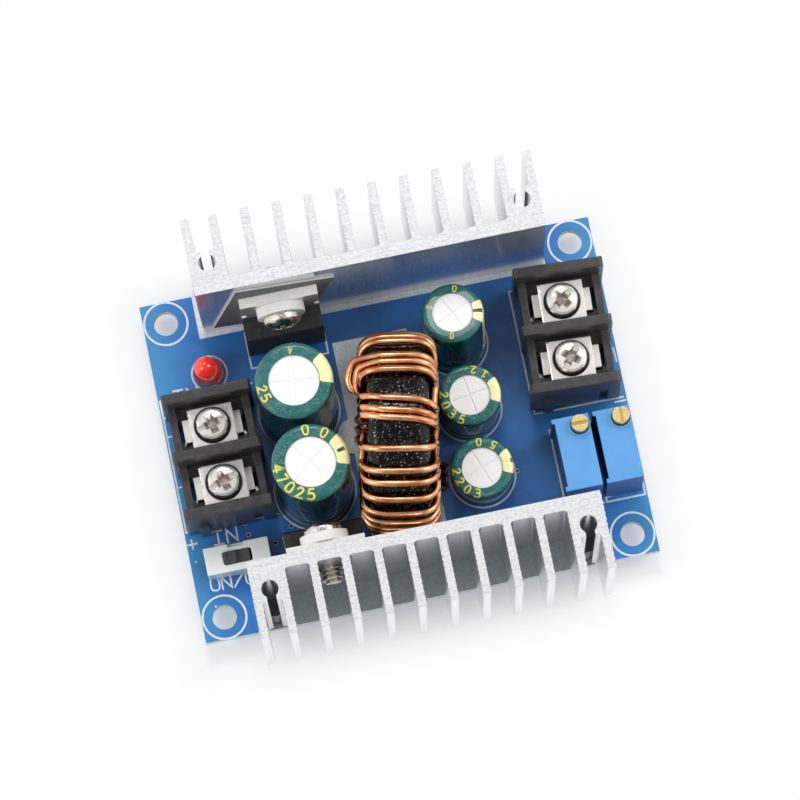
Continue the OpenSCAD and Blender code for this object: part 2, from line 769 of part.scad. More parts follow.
// Tube of the wire's section along a list of [point, direction across]
module swept_wire(path, r, sides) {
    n = len(path);
    rings = [
        for (i = [0 : n - 1])
            let (
                t = unit(path[min(i + 1, n - 1)][0] - path[max(i - 1, 0)][0]),
                a = unit(path[i][1] - (path[i][1] * t) * t),
                b = cross(t, a)
            )
            for (k = [0 : sides - 1]) path[i][0] + r * (cos(360 * k / sides) * a + sin(360 * k / sides) * b)
    ];
    walls = [
        for (i = [0 : n - 2], k = [0 : sides - 1])
            let (j = (k + 1) % sides, p = i * sides, q = p + sides)
            each [[p + k, q + k, p + j], [p + j, q + k, q + j]]
    ];
    ends = [[for (k = [0 : sides - 1]) k], [for (k = [sides - 1 : -1 : 0]) (n - 1) * sides + k]];
    polyhedron(points = rings, faces = concat(walls, ends), convexity = 8);
}

module inductor_winding() {
    color("peru") on_ring() for (s = [0 : strands - 1]) swept_wire(strand_path(s), wire_d / 2, wire_sides);
}

// Section of a capacitor can, out to radius r and up to height h, with its crimp groove
crimp_r = 0.8;
crimp_depth = 0.4;
module can_section(r, h, edge) {
    difference() {
        union() {
            square([r - edge, h]);
            square([r, h - edge]);
            translate([r - edge, h - edge]) circle(r = edge);
        }
        translate([r + crimp_r - crimp_depth, crimp_z]) circle(r = crimp_r);
        translate([-r, -cut]) square([r, h + 2 * cut]);
    }
}

// Aluminium can with a cross scored in its vent and a recess for its bung below
bung_z = 1.4;
bung_wall = 0.5;
score_z = 0.1;
score_w = 0.2;
score_end = 0.2;
in_score_turn = [-6.5, 39];
out_score_turn = [24.5, 9.5, 20.5];
module can(d, h, score_turn) {
    r = d / 2 - sleeve_t;
    difference() {
        rotate_extrude() can_section(r, h - sleeve_t, can_edge_r);
        translate([0, 0, -cut]) cylinder(r = r - crimp_depth - bung_wall, h = bung_z + cut);
        translate([0, 0, h - sleeve_t - score_z]) for (a = [0, 90])
            rotate([0, 0, score_turn + a]) post(d * vent_share - 2 * score_end, score_w, score_z + cut);
    }
}

// Shrunk sleeve that curls over the can's top and bottom edges
module sleeve(d, h) {
    rotate_extrude() difference() {
        can_section(d / 2, h, can_edge_r + sleeve_t);
        can_section(d / 2 - sleeve_t + seat_gap, h - sleeve_t + seat_gap, can_edge_r);
        square([d / 2 * vent_share, h + cut]);
    }
}

// Stands a capacitor at its place, leaning along Y and sideways
module stand_cap(x, y, lean, side) {
    translate([x, y, board_t + cap_lift]) rotate([-lean, side, 0]) children();
}

module stand_output_cap(i) {
    stand_cap(out_cap_x, out_cap_y[i], out_cap_lean[i], out_cap_side[i]) children();
}

module input_capacitor_1_can() {
    color("whitesmoke") stand_cap(in_cap_x, in_cap_y[0], 0, 0) can(in_cap_d, in_cap_h, in_score_turn[0]);
}

module input_capacitor_2_can() {
    color("whitesmoke") stand_cap(in_cap_x, in_cap_y[1], 0, 0) can(in_cap_d, in_cap_h, in_score_turn[1]);
}

module output_capacitor_1_can() {
    color("whitesmoke") stand_output_cap(0) can(out_cap_d, out_cap_h, out_score_turn[0]);
}

module output_capacitor_2_can() {
    color("whitesmoke") stand_output_cap(1) can(out_cap_d, out_cap_h, out_score_turn[1]);
}

module output_capacitor_3_can() {
    color("whitesmoke") stand_output_cap(2) can(out_cap_d, out_cap_h, out_score_turn[2]);
}

module input_capacitor_1_sleeve() {
    color("darkgreen") stand_cap(in_cap_x, in_cap_y[0], 0, 0) sleeve(in_cap_d, in_cap_h);
}

module input_capacitor_2_sleeve() {
    color("darkgreen") stand_cap(in_cap_x, in_cap_y[1], 0, 0) sleeve(in_cap_d, in_cap_h);
}

module output_capacitor_1_sleeve() {
    color("darkgreen") stand_output_cap(0) sleeve(out_cap_d, out_cap_h);
}

module output_capacitor_2_sleeve() {
    color("darkgreen") stand_output_cap(1) sleeve(out_cap_d, out_cap_h);
}

module output_capacitor_3_sleeve() {
    color("darkgreen") stand_output_cap(2) sleeve(out_cap_d, out_cap_h);
}

// Rubber bungs that close the cans
module capacitor_bungs() {
    bung_in = sleeve_t + crimp_depth + bung_wall + seat_gap;
    color("black") {
        for (y = in_cap_y) stand_cap(in_cap_x, y, 0, 0)
            cylinder(r = in_cap_d / 2 - bung_in, h = bung_z - seat_gap);
        for (i = [0 : 2]) stand_output_cap(i)
            cylinder(r = out_cap_d / 2 - bung_in, h = bung_z - seat_gap);
    }
}

// Straight leads from each bung through the board
module capacitor_leads() {
    color("silver") for (p = all_cap_holes)
        translate([p[0], p[1], -tail]) cylinder(d = cap_lead_d, h = tail + board_t + cap_lift - 3 * seat_gap);
}

// Places a terminal block's parts on the board
module at_input() {
    translate([in_block_x, in_block_y, 0]) children();
}

module at_output() {
    translate([out_block_x, out_block_y, 0]) rotate([0, 0, out_block_turn]) children();
}

// Slot for a contact's leg, open above the leg
slot_gap = 0.12;
ledge_room = (body_w - contact_l) / 2 - ledge_t + slot_gap;
slot_w = contact_t + ledge_room;
slot_x = contact_l / 2 - contact_t - slot_gap + slot_w / 2;

// Dovetail tongue and groove at the ends, by which blocks join in a row
tongue_x = 3.6;
tongue_w = 1.3;
tongue_neck = 0.9;
tongue_out = 0.6;
tongue_fit = 0.1;
tongue_root = 0.3;
module dovetail(grow, depth, h) {
    wide = tongue_w / 2 + grow;
    neck = tongue_neck / 2 + grow;
    linear_extrude(h) polygon([
        [-wide, -depth], [wide, -depth], [neck, 0], [neck, tongue_root], [-neck, tongue_root], [-neck, 0]
    ]);
}

// Moulded block with three barriers, ledges, leg slots and a clearance hole under each screw
block_foot = 0.5;
foot_w = 1.2;
barrier_top_r = 0.5;
screw_hole_d = clamp_screw_d + 4 * screw_clear;
module terminal_housing() {
    low = board_t + block_foot;
    difference() {
        union() {
            translate([0, 0, low]) post(body_w, block_d, way_floor - block_foot);
            for (s = [-1, 1]) translate([s * (body_w - ledge_t) / 2, 0, low])
                post(ledge_t, block_d, way_floor + ledge_h - block_foot);
            for (i = [-1 : 1]) translate([-block_w / 2, i * way_pitch + barrier_t / 2, 0])
                rotate([90, 0, 0]) linear_extrude(barrier_t) barrier_outline(low, board_t + block_h);
            for (sx = [-1, 1], sy = [-1, 1])
                translate([sx * (body_w / 2 - foot_w), sy * (block_d / 2 - foot_w / 2), board_t])
                    post(foot_w, foot_w, block_foot + cut);
            for (a = [0, 180]) rotate([0, 0, a]) translate([-tongue_x, -block_d / 2, low])
                dovetail(0, tongue_out, way_floor - block_foot);
        }
        for (a = [0, 180]) rotate([0, 0, a]) translate([tongue_x, -block_d / 2, board_t - cut])
            mirror([0, 1, 0]) dovetail(tongue_fit, tongue_out + tongue_fit, way_floor + cut);
        for (y = way_y) translate([0, y, 0]) {
            translate([0, 0, board_t - cut]) cylinder(d = screw_hole_d, h = block_h);
            for (s = [-1, 1]) translate([s * slot_x, 0, board_t - cut])
                post(slot_w, contact_w + 2 * slot_gap, block_h + 2 * cut);
        }
    }
}

// Barrier seen from the end: upright sides with rounded top corners
module barrier_outline(low, high) {
    union() {
        translate([0, low]) square([block_w, high - low - barrier_top_r]);
        translate([barrier_top_r, low]) square([block_w - 2 * barrier_top_r, high - low]);
        for (x = [barrier_top_r, block_w - barrier_top_r])
            translate([x, high - barrier_top_r]) circle(r = barrier_top_r);
    }
}

module input_terminal_housing() {
    color("black") at_input() terminal_housing();
}

module output_terminal_housing() {
    color("black") at_output() terminal_housing();
}

// Plated contacts bent down at both ends into solder pins, with a tapped hole for the screw
module contact_pair() {
    for (y = way_y) translate([0, y, 0]) difference() {
        union() {
            translate([0, 0, board_t + way_floor + seat_gap]) post(contact_l, contact_w, contact_t - seat_gap);
            for (s = [-1, 1]) translate([s * contact_pin_x, 0, 0]) {
                translate([0, 0, board_t + block_foot])
                    post(contact_t, contact_w, way_floor + contact_t - block_foot);
                translate([0, 0, -tail]) post(contact_t, pin_w, tail + board_t + way_floor);
            }
        }
        translate([0, 0, board_t + way_floor - cut])
            cylinder(d = clamp_screw_d + 2 * screw_clear, h = contact_t + 2 * cut);
    }
}

module input_contacts() {
    color("gainsboro") at_input() contact_pair();
}

module output_contacts() {
    color("gainsboro") at_output() contact_pair();
}

// Cupped clamp plate that grips a wire, with its front and rear edges turned down
clamp_lip = 0.5;
module clamp_plate(y) {
    translate([0, y, clamp_seat]) difference() {
        post(clamp_l, clamp_w, clamp_t);
        translate([0, 0, clamp_t - cup_z]) cylinder(d = cup_d, h = clamp_t);
        translate([0, 0, -cut]) cylinder(d = clamp_screw_d + 2 * screw_clear, h = clamp_t + 2 * cut);
        for (s = [-1, 1]) translate([s * clamp_l / 2, 0, clamp_t]) rotate([0, 45, 0])
            post(clamp_lip, clamp_w + cut, clamp_lip);
    }
}

// Clamp screw with a slot and a cross recess in its head
clamp_edge = 1;
clamp_slot = 0.6;
clamp_recess_z = 0.9;
in_slot_turn = [20, 14];
out_slot_turn = [52, 38];
module clamp_screw(y, slot_turn) {
    translate([0, y, head_seat]) {
        difference() {
            domed_head(clamp_head_d, clamp_head_h, clamp_edge);
            translate([0, 0, clamp_head_h]) rotate([0, 0, slot_turn]) {
                cross_recess(clamp_head_d * 0.6, clamp_slot, clamp_recess_z);
                translate([0, 0, -clamp_recess_z / 2]) post(clamp_head_d + cut, clamp_slot, clamp_recess_z);
            }
        }
        translate([0, 0, -clamp_screw_l]) cylinder(d = clamp_screw_d, h = clamp_screw_l);
    }
}

module input_positive_clamp() {
    color("gainsboro") at_input() clamp_plate(way_y[0]);
}

module input_negative_clamp() {
    color("gainsboro") at_input() clamp_plate(way_y[1]);
}

module output_positive_clamp() {
    color("gainsboro") at_output() clamp_plate(way_y[1]);
}

module output_negative_clamp() {
    color("gainsboro") at_output() clamp_plate(way_y[0]);
}

module input_positive_screw() {
    color("silver") at_input() clamp_screw(way_y[0], in_slot_turn[0]);
}

module input_negative_screw() {
    color("silver") at_input() clamp_screw(way_y[1], in_slot_turn[1]);
}

module output_positive_screw() {
    color("silver") at_output() clamp_screw(way_y[1], out_slot_turn[1]);
}

module output_negative_screw() {
    color("silver") at_output() clamp_screw(way_y[0], out_slot_turn[0]);
}

// Round-topped lens with a flange that has one flat
flange_h = 1;
flat_in = 0.25;
module lamp_lens() {
    color("red") translate([led_x, led_y, board_t + led_lift]) rotate([0, -led_lean, 0]) {
        difference() {
            cylinder(d = led_flange_d, h = flange_h);
            translate([-led_flange_d, -led_flange_d / 2 - led_flange_d + flat_in, -cut])
                cube([2 * led_flange_d, led_flange_d, flange_h + 2 * cut]);
        }
        cylinder(d = led_d, h = led_h - led_d / 2);
        translate([0, 0, led_h - led_d / 2]) sphere(d = led_d);
    }
}

module lamp_leads() {
    color("silver") for (p = led_holes)
        translate([p[0], p[1], -tail]) post(led_lead, led_lead, tail + board_t + led_lift - 2 * seat_gap);
}

// Folded steel cover of the switch, notched at the rear, with the slot that the knob travels in
knob_corner_r = 0.25;
cover_notch_w = 2.1;
cover_notch_in = 0.4;
cover_notch_z = 0.6;
module switch_frame() {
    slot_l = knob_w + knob_travel + 2 * knob_clear;
    color("lightgray") translate([switch_x, switch_y, board_t]) difference() {
        translate([0, 0, switch_foot / 2]) post(switch_w, switch_d, switch_h - switch_foot / 2);
        translate([-switch_w, -switch_d / 2 + switch_sheet, -cut])
            cube([2 * switch_w, switch_d - 2 * switch_sheet, switch_h - switch_sheet + cut]);
        translate([0, 0, switch_h / 2])
            round_post(slot_l, knob_d + 2 * knob_clear, switch_h, knob_corner_r + knob_clear);
        translate([0, switch_d / 2, switch_h - cover_notch_z])
            post(cover_notch_w, 2 * cover_notch_in, cover_notch_z + cut);
    }
}

// Insulating base that closes the cover from below and carries the pins
module switch_base() {
    color("saddlebrown") translate([switch_x, switch_y, board_t]) difference() {
        post(switch_w - 2 * seat_gap, switch_d - 2 * switch_sheet - 2 * seat_gap, switch_foot);
        for (i = [-1 : 1]) translate([i * switch_pin_pitch, 0, -cut])
            post(switch_pin + 2 * seat_gap, switch_pin + 2 * seat_gap, switch_foot + 2 * cut);
    }
}

// Dished knob on a slider block, shown at the left end of its travel
slider_l = 5.2;
dish_rim = 0.3;
dish_z = 0.2;
module switch_slider() {
    low = switch_foot + switch_pin;
    room = switch_sheet + knob_clear;
    top = switch_h + knob_up;
    color("black") translate([knob_x, switch_y, board_t]) difference() {
        union() {
            translate([0, 0, low]) post(slider_l, switch_d - 2 * room, switch_h - room - low);
            translate([0, 0, low]) round_post(knob_w, knob_d, top - low, knob_corner_r);
        }
        translate([0, 0, top - dish_z]) post(knob_w - 2 * dish_rim, knob_d - 2 * dish_rim, dish_z + cut);
    }
}

module switch_pins() {
    color("silver") for (p = switch_holes)
        translate([p[0], p[1], -tail])
            post(switch_pin, switch_pin, tail + board_t + switch_foot + switch_pin / 2);
}

// Multi-turn trimmer housing, its left side recessed up to the top and its right side up to below
// the well of its screw
trim_lip = 0.6;
trim_foot = 0.4;
well_z = 2;
module trimmer_housing(x) {
    color("dodgerblue") translate([x, trim_front, board_t]) difference() {
        cube([trim_w, trim_d, trim_h]);
        for (s = [0, 1]) translate([s * (trim_w - trim_recess) - (1 - s) * cut, trim_lip, -cut])
            cube([trim_recess + cut, trim_d - 2 * trim_lip, trim_h + cut + (s == 0 ? cut : -well_z - trim_lip)]);
        translate([-cut, trim_lip, -cut]) cube([trim_w + 2 * cut, trim_d - 2 * trim_lip, trim_foot + cut]);
        translate([trim_w - trim_screw_in, trim_d - trim_screw_in, trim_h - well_z])
            cylinder(d = trim_screw_d + 2 * screw_clear, h = well_z + cut);
    }
}

module voltage_trimmer_housing() {
    trimmer_housing(right_trim_x);
}

module current_trimmer_housing() {
    trimmer_housing(left_trim_x);
}

// Slotted brass adjusting screw, turning in its well
trim_slot = 0.5;
trim_slot_z = 0.7;
module trimmer_screw(x, slot_turn) {
    top = trim_h + trim_screw_up;
    middle = [x + trim_w - trim_screw_in, trim_front + trim_d - trim_screw_in, board_t];
    color("gold") translate(middle) difference() {
        translate([0, 0, trim_h - well_z + screw_clear])
            cylinder(d = trim_screw_d, h = well_z + trim_screw_up - screw_clear);
        translate([0, 0, top - trim_slot_z]) rotate([0, 0, slot_turn])
            post(trim_screw_d + cut, trim_slot, trim_slot_z + cut);
    }
}

module voltage_trimmer_screw() {
    trimmer_screw(right_trim_x, 90);
}

module current_trimmer_screw() {
    trimmer_screw(left_trim_x, 0);
}

module trimmer_pins() {
    color("silver") for (p = trim_holes)
        translate([p[0], p[1], -tail]) cylinder(d = trim_pin_d, h = tail + board_t + trim_foot - seat_gap);
}

// Hangs a part under the board at a place
module under(p) {
    translate([p[0], p[1], 0]) mirror([0, 0, 1]) children();
}

// Moulded chip body, bevelled along its long sides
chip_lift = 0.1;
chip_bevel = 0.25;
module chip_body(w) {
    translate([-w / 2, 0, chip_lift]) rotate([90, 0, 90]) linear_extrude(w) polygon([
        [-chip_d / 2 + chip_bevel, 0], [chip_d / 2 - chip_bevel, 0], [chip_d / 2, chip_h / 2],
        [chip_d / 2 - chip_bevel, chip_h], [-chip_d / 2 + chip_bevel, chip_h], [-chip_d / 2, chip_h / 2]
    ]);
}

module controller_chip() {
    color("dimgray") under(pwm_place) chip_body(pwm_w);
}

module amplifier_chip() {
    color("dimgray") under(amp_place) chip_body(amp_w);
}

// Gull-wing legs along both sides of a chip
leg_t = 0.2;
leg_out = 1;
module legs(count) {
    for (i = [0 : count / 2 - 1], s = [0, 1]) mirror([0, s, 0])
        translate([(i - (count / 2 - 1) / 2) * chip_leg_pitch - chip_leg / 2, chip_d / 2 + seat_gap, 0])
            rotate([90, 0, 90]) linear_extrude(chip_leg) polygon([
                [0, chip_lift + chip_h / 2], [leg_out / 3, chip_lift + chip_h / 2], [leg_out / 2, leg_t],
                [leg_out, leg_t], [leg_out, 0], [leg_out / 3, 0],
                [leg_out / 6, chip_lift + chip_h / 2 - leg_t], [0, chip_lift + chip_h / 2 - leg_t]
            ]);
}

module chip_legs() {
    color("silver") {
        under(pwm_place) legs(16);
        under(amp_place) legs(8);
    }
}

// Flat metal-strip resistors that sense the current
shunt_h = 0.6;
module current_shunts() {
    color("dimgray") for (p = shunt_place) under(p) post(shunt_w, shunt_d, shunt_h);
}

module small_resistors() {
    color("black") for (p = resistor_place) under(p) post(small_w, small_d, small_h / 2);
}

module small_capacitors() {
    color("tan") for (p = capacitor_place) under(p) post(small_w, small_d, small_h);
}

circuit_board();
solder_joints();
front_heatsink();
rear_heatsink();
heatsink_pins();
front_transistor_case();
front_transistor_frame();
rear_transistor_case();
rear_transistor_frame();
front_insulating_pad();
rear_insulating_pad();
shoulder_bushes();
tab_screws();
inductor_core();
inductor_winding();
input_capacitor_1_can();
input_capacitor_2_can();
output_capacitor_1_can();
output_capacitor_2_can();
output_capacitor_3_can();
input_capacitor_1_sleeve();
input_capacitor_2_sleeve();
output_capacitor_1_sleeve();
output_capacitor_2_sleeve();
output_capacitor_3_sleeve();
capacitor_bungs();
capacitor_leads();
input_terminal_housing();
output_terminal_housing();
input_contacts();
output_contacts();
input_positive_clamp();
input_negative_clamp();
output_positive_clamp();
output_negative_clamp();
input_positive_screw();
input_negative_screw();
output_positive_screw();
output_negative_screw();
lamp_lens();
lamp_leads();
switch_frame();
switch_base();
switch_slider();
switch_pins();
voltage_trimmer_housing();
current_trimmer_housing();
voltage_trimmer_screw();
current_trimmer_screw();
trimmer_pins();
controller_chip();
amplifier_chip();
chip_legs();
current_shunts();
small_resistors();
small_capacitors();
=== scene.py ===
import math

import bmesh
import bpy
from mathutils import Euler, Matrix, Vector


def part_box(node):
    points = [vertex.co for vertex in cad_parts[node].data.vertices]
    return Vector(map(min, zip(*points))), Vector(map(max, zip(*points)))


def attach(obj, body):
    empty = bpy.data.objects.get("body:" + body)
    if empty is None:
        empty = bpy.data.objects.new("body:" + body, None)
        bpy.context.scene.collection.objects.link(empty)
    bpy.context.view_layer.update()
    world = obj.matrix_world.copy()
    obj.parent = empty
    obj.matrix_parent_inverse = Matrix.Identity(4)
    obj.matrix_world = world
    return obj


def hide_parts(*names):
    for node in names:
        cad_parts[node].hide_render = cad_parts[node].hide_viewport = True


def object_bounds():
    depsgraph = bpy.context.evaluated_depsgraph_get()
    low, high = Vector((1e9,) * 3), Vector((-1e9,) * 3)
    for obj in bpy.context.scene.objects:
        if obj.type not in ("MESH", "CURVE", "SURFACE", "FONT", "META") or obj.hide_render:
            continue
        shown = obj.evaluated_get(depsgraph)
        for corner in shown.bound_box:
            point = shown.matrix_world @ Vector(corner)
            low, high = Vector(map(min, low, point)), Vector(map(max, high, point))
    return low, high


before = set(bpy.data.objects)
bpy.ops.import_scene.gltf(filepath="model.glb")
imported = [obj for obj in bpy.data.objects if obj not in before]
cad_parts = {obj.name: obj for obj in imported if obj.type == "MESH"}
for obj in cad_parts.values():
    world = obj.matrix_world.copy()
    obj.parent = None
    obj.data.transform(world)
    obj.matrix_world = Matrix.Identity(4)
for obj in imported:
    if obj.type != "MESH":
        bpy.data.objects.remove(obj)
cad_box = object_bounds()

# Circuit board: a 1.6 mm glass-epoxy laminate with copper on both sides under a blue solder mask.
# The outline and the holes are routed after coating, so their walls show the pale woven glass.
mm = 0.001


class Shade:
    """A value or colour that varies over a surface. Arithmetic on values adds Math nodes."""

    def __init__(self, tree, socket=None):
        self.tree, self.socket = tree, socket

    def node(self, kind, settings, sockets, output=0):
        """A new node: its settings are set first, then the values or links of its sockets."""
        made = self.tree.nodes.new("ShaderNode" + kind)
        for key, value in settings.items():
            setattr(made, key, value)
        for key, value in sockets.items():
            if isinstance(value, Shade):
                self.tree.links.new(value.socket, made.inputs[key])
            else:
                made.inputs[key].default_value = value
        return Shade(self.tree, None if output is None else made.outputs[output])

    def math(self, operation, *values):
        return self.node("Math", {"operation": operation}, dict(enumerate(values)))

    def __add__(self, other):
        return self.math("ADD", self, other)

    __radd__ = __add__

    def __sub__(self, other):
        return self.math("SUBTRACT", self, other)

    def __rsub__(self, other):
        return self.math("SUBTRACT", other, self)

    def __mul__(self, other):
        return self.math("MULTIPLY", self, other)

    __rmul__ = __mul__

    def __pow__(self, other):
        return self.math("POWER", self, other)

    def __abs__(self):
        return self.math("ABSOLUTE", self)

    def step(self, low, high):
        """0 below low, 1 above high and smooth between them."""
        return self.node("MapRange", {"interpolation_type": "SMOOTHSTEP"}, {0: self, 1: low, 2: high})

    def mix(self, first, second):
        """A colour that goes from first to second with this value."""
        return self.node("Mix", {"data_type": "RGBA"}, {0: self, 6: first, 7: second}, 2)

    def axis(self, name):
        return self.node("SeparateXYZ", {}, {0: self}, name)

    def stretched(self, x, y, z):
        return self.node("VectorMath", {"operation": "MULTIPLY"}, {0: self, 1: (x, y, z)})

    def noise(self, scale, detail=3.0, roughness=0.5):
        sockets = {"Vector": self, "Scale": scale, "Detail": detail, "Roughness": roughness}
        return self.node("TexNoise", {}, sockets)

    def facing(self, axis="Z"):
        """How far the surface here faces along an axis of the piece, from -1 to 1."""
        return self.node("TexCoord", {}, {}, "Normal").axis(axis)

    def edge(self, radius):
        """The normal of a surface whose sharp edges are rounded, with the radius in millimetres."""
        return self.node("Bevel", {"samples": 6}, {"Radius": radius * mm})

    def dent(self, depth, normal=None):
        """A bumped normal from this height, with its full depth in millimetres."""
        sockets = {"Height": self, "Strength": 1.0, "Distance": depth * mm}
        if normal is not None:
            sockets["Normal"] = normal
        return self.node("Bump", {}, sockets)


def rgb(red, green, blue):
    """A colour as a colour picker shows it, from 0 to 255, for a shader socket."""
    def light(part):
        part /= 255
        return part / 12.92 if part <= 0.04045 else ((part + 0.055) / 1.055) ** 2.4
    return light(red), light(green), light(blue), 1.0


def finish(name, look, **fixed):
    """A material. look gives the sockets that vary, from the place on the piece in millimetres."""
    made = bpy.data.materials.new(name)
    made.use_nodes = True
    tree = made.node_tree
    shader = tree.nodes["Principled BSDF"]
    start = Shade(tree)
    place = start.node("TexCoord", {}, {}, "Object")
    at = start.node("VectorMath", {"operation": "SCALE"}, {0: place, "Scale": 1 / mm})
    for socket, value in look(at).items():
        tree.links.new(value.socket, shader.inputs[socket])
    for socket, value in fixed.items():
        shader.inputs[socket.replace("_", " ")].default_value = value
    return made


def dress(material, *names):
    """Gives CAD nodes their finish."""
    for name in names:
        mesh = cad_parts[name].data
        mesh.materials.clear()
        mesh.materials.append(material)
        for face in mesh.polygons:
            face.material_index = 0


def board_look(at):
    face = abs(at.facing()).step(0.5, 0.7)
    cloud = at.noise(0.12, 2.0).step(0.35, 0.65)
    patches = at.node("TexVoronoi", {"distance": "CHEBYCHEV"}, {"Vector": at, "Scale": 0.17}, "Color")
    copper = patches.axis("X").step(0.42, 0.46)
    mask = cloud.mix(rgb(32, 112, 194), rgb(44, 128, 210))
    mask = (0.3 * copper).mix(mask, rgb(22, 86, 162))
    # Painted sheen: the mask is painted paler and more cyan towards the board's left and right ends.
    mask = (0.55 * abs(at.axis("X")).step(23.0, 31.0)).mix(mask, rgb(82, 172, 222))
    weave = at.stretched(2.4, 2.4, 9.0).noise(1.0, 2.0).step(0.3, 0.7)
    glass = weave.mix(rgb(190, 204, 196), rgb(224, 234, 226))
    grain = at.noise(9.0)
    return {
        "Base Color": face.mix(glass, mask),
        "Roughness": 0.62 - face * (0.36 - 0.1 * grain),
        "Coat Weight": 0.3 * face,
        "Normal": (grain + 1.5 * copper).dent(0.01, at.edge(0.12)),
    }


dress(finish("board_mask", board_look, Coat_Roughness=0.12, IOR=1.5), "circuit_board")

# White print on the board: solid fields under the heatsinks and the inductor, outlines of the parts, signs
# and switch words. Epoxy ink, screened on over the mask about 0.015 mm thick, with slightly uneven cover.
board_top = 1.6
ink_lift, ink_step, ink_layers = 0.012, 0.002, 5


def oval(width, shoulder):
    """A letter O or a nought: one stroke round it, at a height of 1."""
    right = [(width - 0.2, 0), (width - 0.05, 0.12), (width, shoulder)]
    right += [(x, 1 - y) for x, y in reversed(right)]
    left = [(width - x, 1 - y) for x, y in right]
    return left[-1:] + right + left


# The width of each letter or numeral and its pen strokes, at a height of 1.
letters = {
    "I": (0.75, [[(0.37, 0), (0.37, 1)], [(0.05, 1), (0.7, 1)], [(0.05, 0), (0.7, 0)]]),
    "N": (0.78, [[(0, 0), (0, 1), (0.75, 0), (0.75, 1)]]),
    "O": (0.72, [oval(0.7, 0.3)]),
    "F": (0.6, [[(0, 0), (0, 1), (0.6, 1)], [(0, 0.52), (0.48, 0.52)]]),
    "/": (0.8, [[(0, 0), (0.8, 0.95)]]),
    "+": (0.9, [[(0, 0.5), (0.9, 0.5)], [(0.45, 0.05), (0.45, 0.95)]]),
    "-": (0.9, [[(0, 0.5), (0.9, 0.5)]]),
    "0": (0.62, [oval(0.62, 0.35)]),
    "1": (0.6, [[(0.05, 0.78), (0.32, 1), (0.32, 0)], [(0.05, 0), (0.58, 0)]]),
    "2": (0.6, [[(0, 0.8), (0.08, 0.95), (0.3, 1), (0.52, 0.95), (0.6, 0.78), (0.5, 0.58), (0, 0),
                 (0.6, 0)]]),
    "3": (0.6, [[(0, 0.95), (0.12, 1), (0.48, 1), (0.6, 0.86), (0.58, 0.64), (0.44, 0.53), (0.22, 0.53)],
                [(0.44, 0.53), (0.6, 0.4), (0.6, 0.16), (0.46, 0), (0.1, 0), (0, 0.06)]]),
    "4": (0.62, [[(0.46, 0), (0.46, 1), (0, 0.3), (0.62, 0.3)]]),
    "5": (0.6, [[(0.56, 1), (0.08, 1), (0.03, 0.56), (0.3, 0.62), (0.52, 0.54), (0.6, 0.32), (0.52, 0.08),
                 (0.3, 0), (0, 0.06)]]),
    "7": (0.6, [[(0, 1), (0.6, 1), (0.2, 0)]]),
}


def written(words, left, bottom, height, spacing=0.28):
    """The pen strokes of some words on a flat sheet."""
    strokes = []
    for letter in words:
        width, lines = letters[letter]
        strokes += [[(left + x * height, bottom + y * height) for x, y in line] for line in lines]
        left += (width + spacing) * height
    return strokes


def angles(steps):
    """Even steps round a full turn, in radians."""
    return [2 * math.pi * i / steps for i in range(steps)]


def circle(x, y, radius, steps=72):
    """A closed round stroke on a flat sheet."""
    points = [(x + radius * math.cos(a), y + radius * math.sin(a)) for a in angles(steps)]
    return points + points[:1]


def ink(mesh, strokes, width, place, spacing=0.4):
    """Adds pen strokes of one width. place puts a point of the flat sheet on the piece, in one of a few thin
    layers, so that strokes which cross have no surface in common."""
    for number, stroke in enumerate(strokes):
        dense = []
        for (ax, ay), (bx, by) in zip(stroke, stroke[1:]):
            steps = max(1, round(math.hypot(bx - ax, by - ay) / spacing))
            dense += [Vector((ax + (bx - ax) * i / steps, ay + (by - ay) * i / steps)) for i in range(steps)]
        dense.append(Vector(stroke[-1]))
        last = len(dense) - 1
        closed = (dense[0] - dense[last]).length < 1e-6
        rows = []
        for i, point in enumerate(dense):
            before = point - dense[i - 1] if i else (point - dense[last - 1] if closed else dense[1] - point)
            after = dense[i + 1] - point if i < last else (dense[1] - point if closed else before)
            before, after = before.normalized(), after.normalized()
            along = (before + after).normalized()
            side = Vector((-along.y, along.x)) * (width / 2 / max(0.5, along.dot(before)))
            if not closed and i in (0, last):
                point = point + along * (width / 2 if i else -width / 2)
            ends = (point + side, point - side)
            rows.append([mesh.verts.new(place(*end, number % ink_layers)) for end in ends])
        for (a, b), (c, d) in zip(rows, rows[1:]):
            mesh.faces.new((a, b, d, c))


def field(mesh, corners, place, layer=-1):
    """Adds a solid field of ink."""
    mesh.faces.new([mesh.verts.new(place(x, y, layer)) for x, y in corners])


def shown(name, mesh):
    """A finished mesh as an object in the scene."""
    bmesh.ops.recalc_face_normals(mesh, faces=mesh.faces)
    data = bpy.data.meshes.new(name)
    mesh.to_mesh(data)
    mesh.free()
    made = bpy.data.objects.new(name, data)
    bpy.context.scene.collection.objects.link(made)
    return made


def piece(name, mesh, material, body="board", smooth=True):
    """A finished mesh as a piece that rides on a body."""
    made = shown(name, mesh)
    made.data.materials.append(material)
    if smooth:
        made.data.shade_smooth()
    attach(made, body)
    return made


def on_board(x, y, layer):
    """A point of the print on the upper face of the board."""
    return x * mm, y * mm, (board_top + ink_lift + ink_step * layer) * mm


def print_look(at):
    thin = at.noise(3.5, 4.0).step(0.25, 0.75)
    return {
        "Base Color": thin.mix(rgb(214, 226, 238), rgb(246, 249, 252)),
        "Roughness": 0.5 + 0.2 * thin,
        "Normal": at.noise(12.0).dent(0.01),
    }


pen, hole_pen, dot_pen = 0.24, 0.27, 0.14
hole_x, hole_y, hole_ring = 27.0, 19.8, 2.84
in_cap_places = ((-12.2, 4.93), (-12.2, -5.77))
out_cap_places = ((9.5, 9.55), (9.5, 0.65), (9.5, -8.25))
in_cap_ring, out_cap_ring = 5.32, 4.3
lamp_place, lamp_ring = (-22.69, 12.15), 2.3
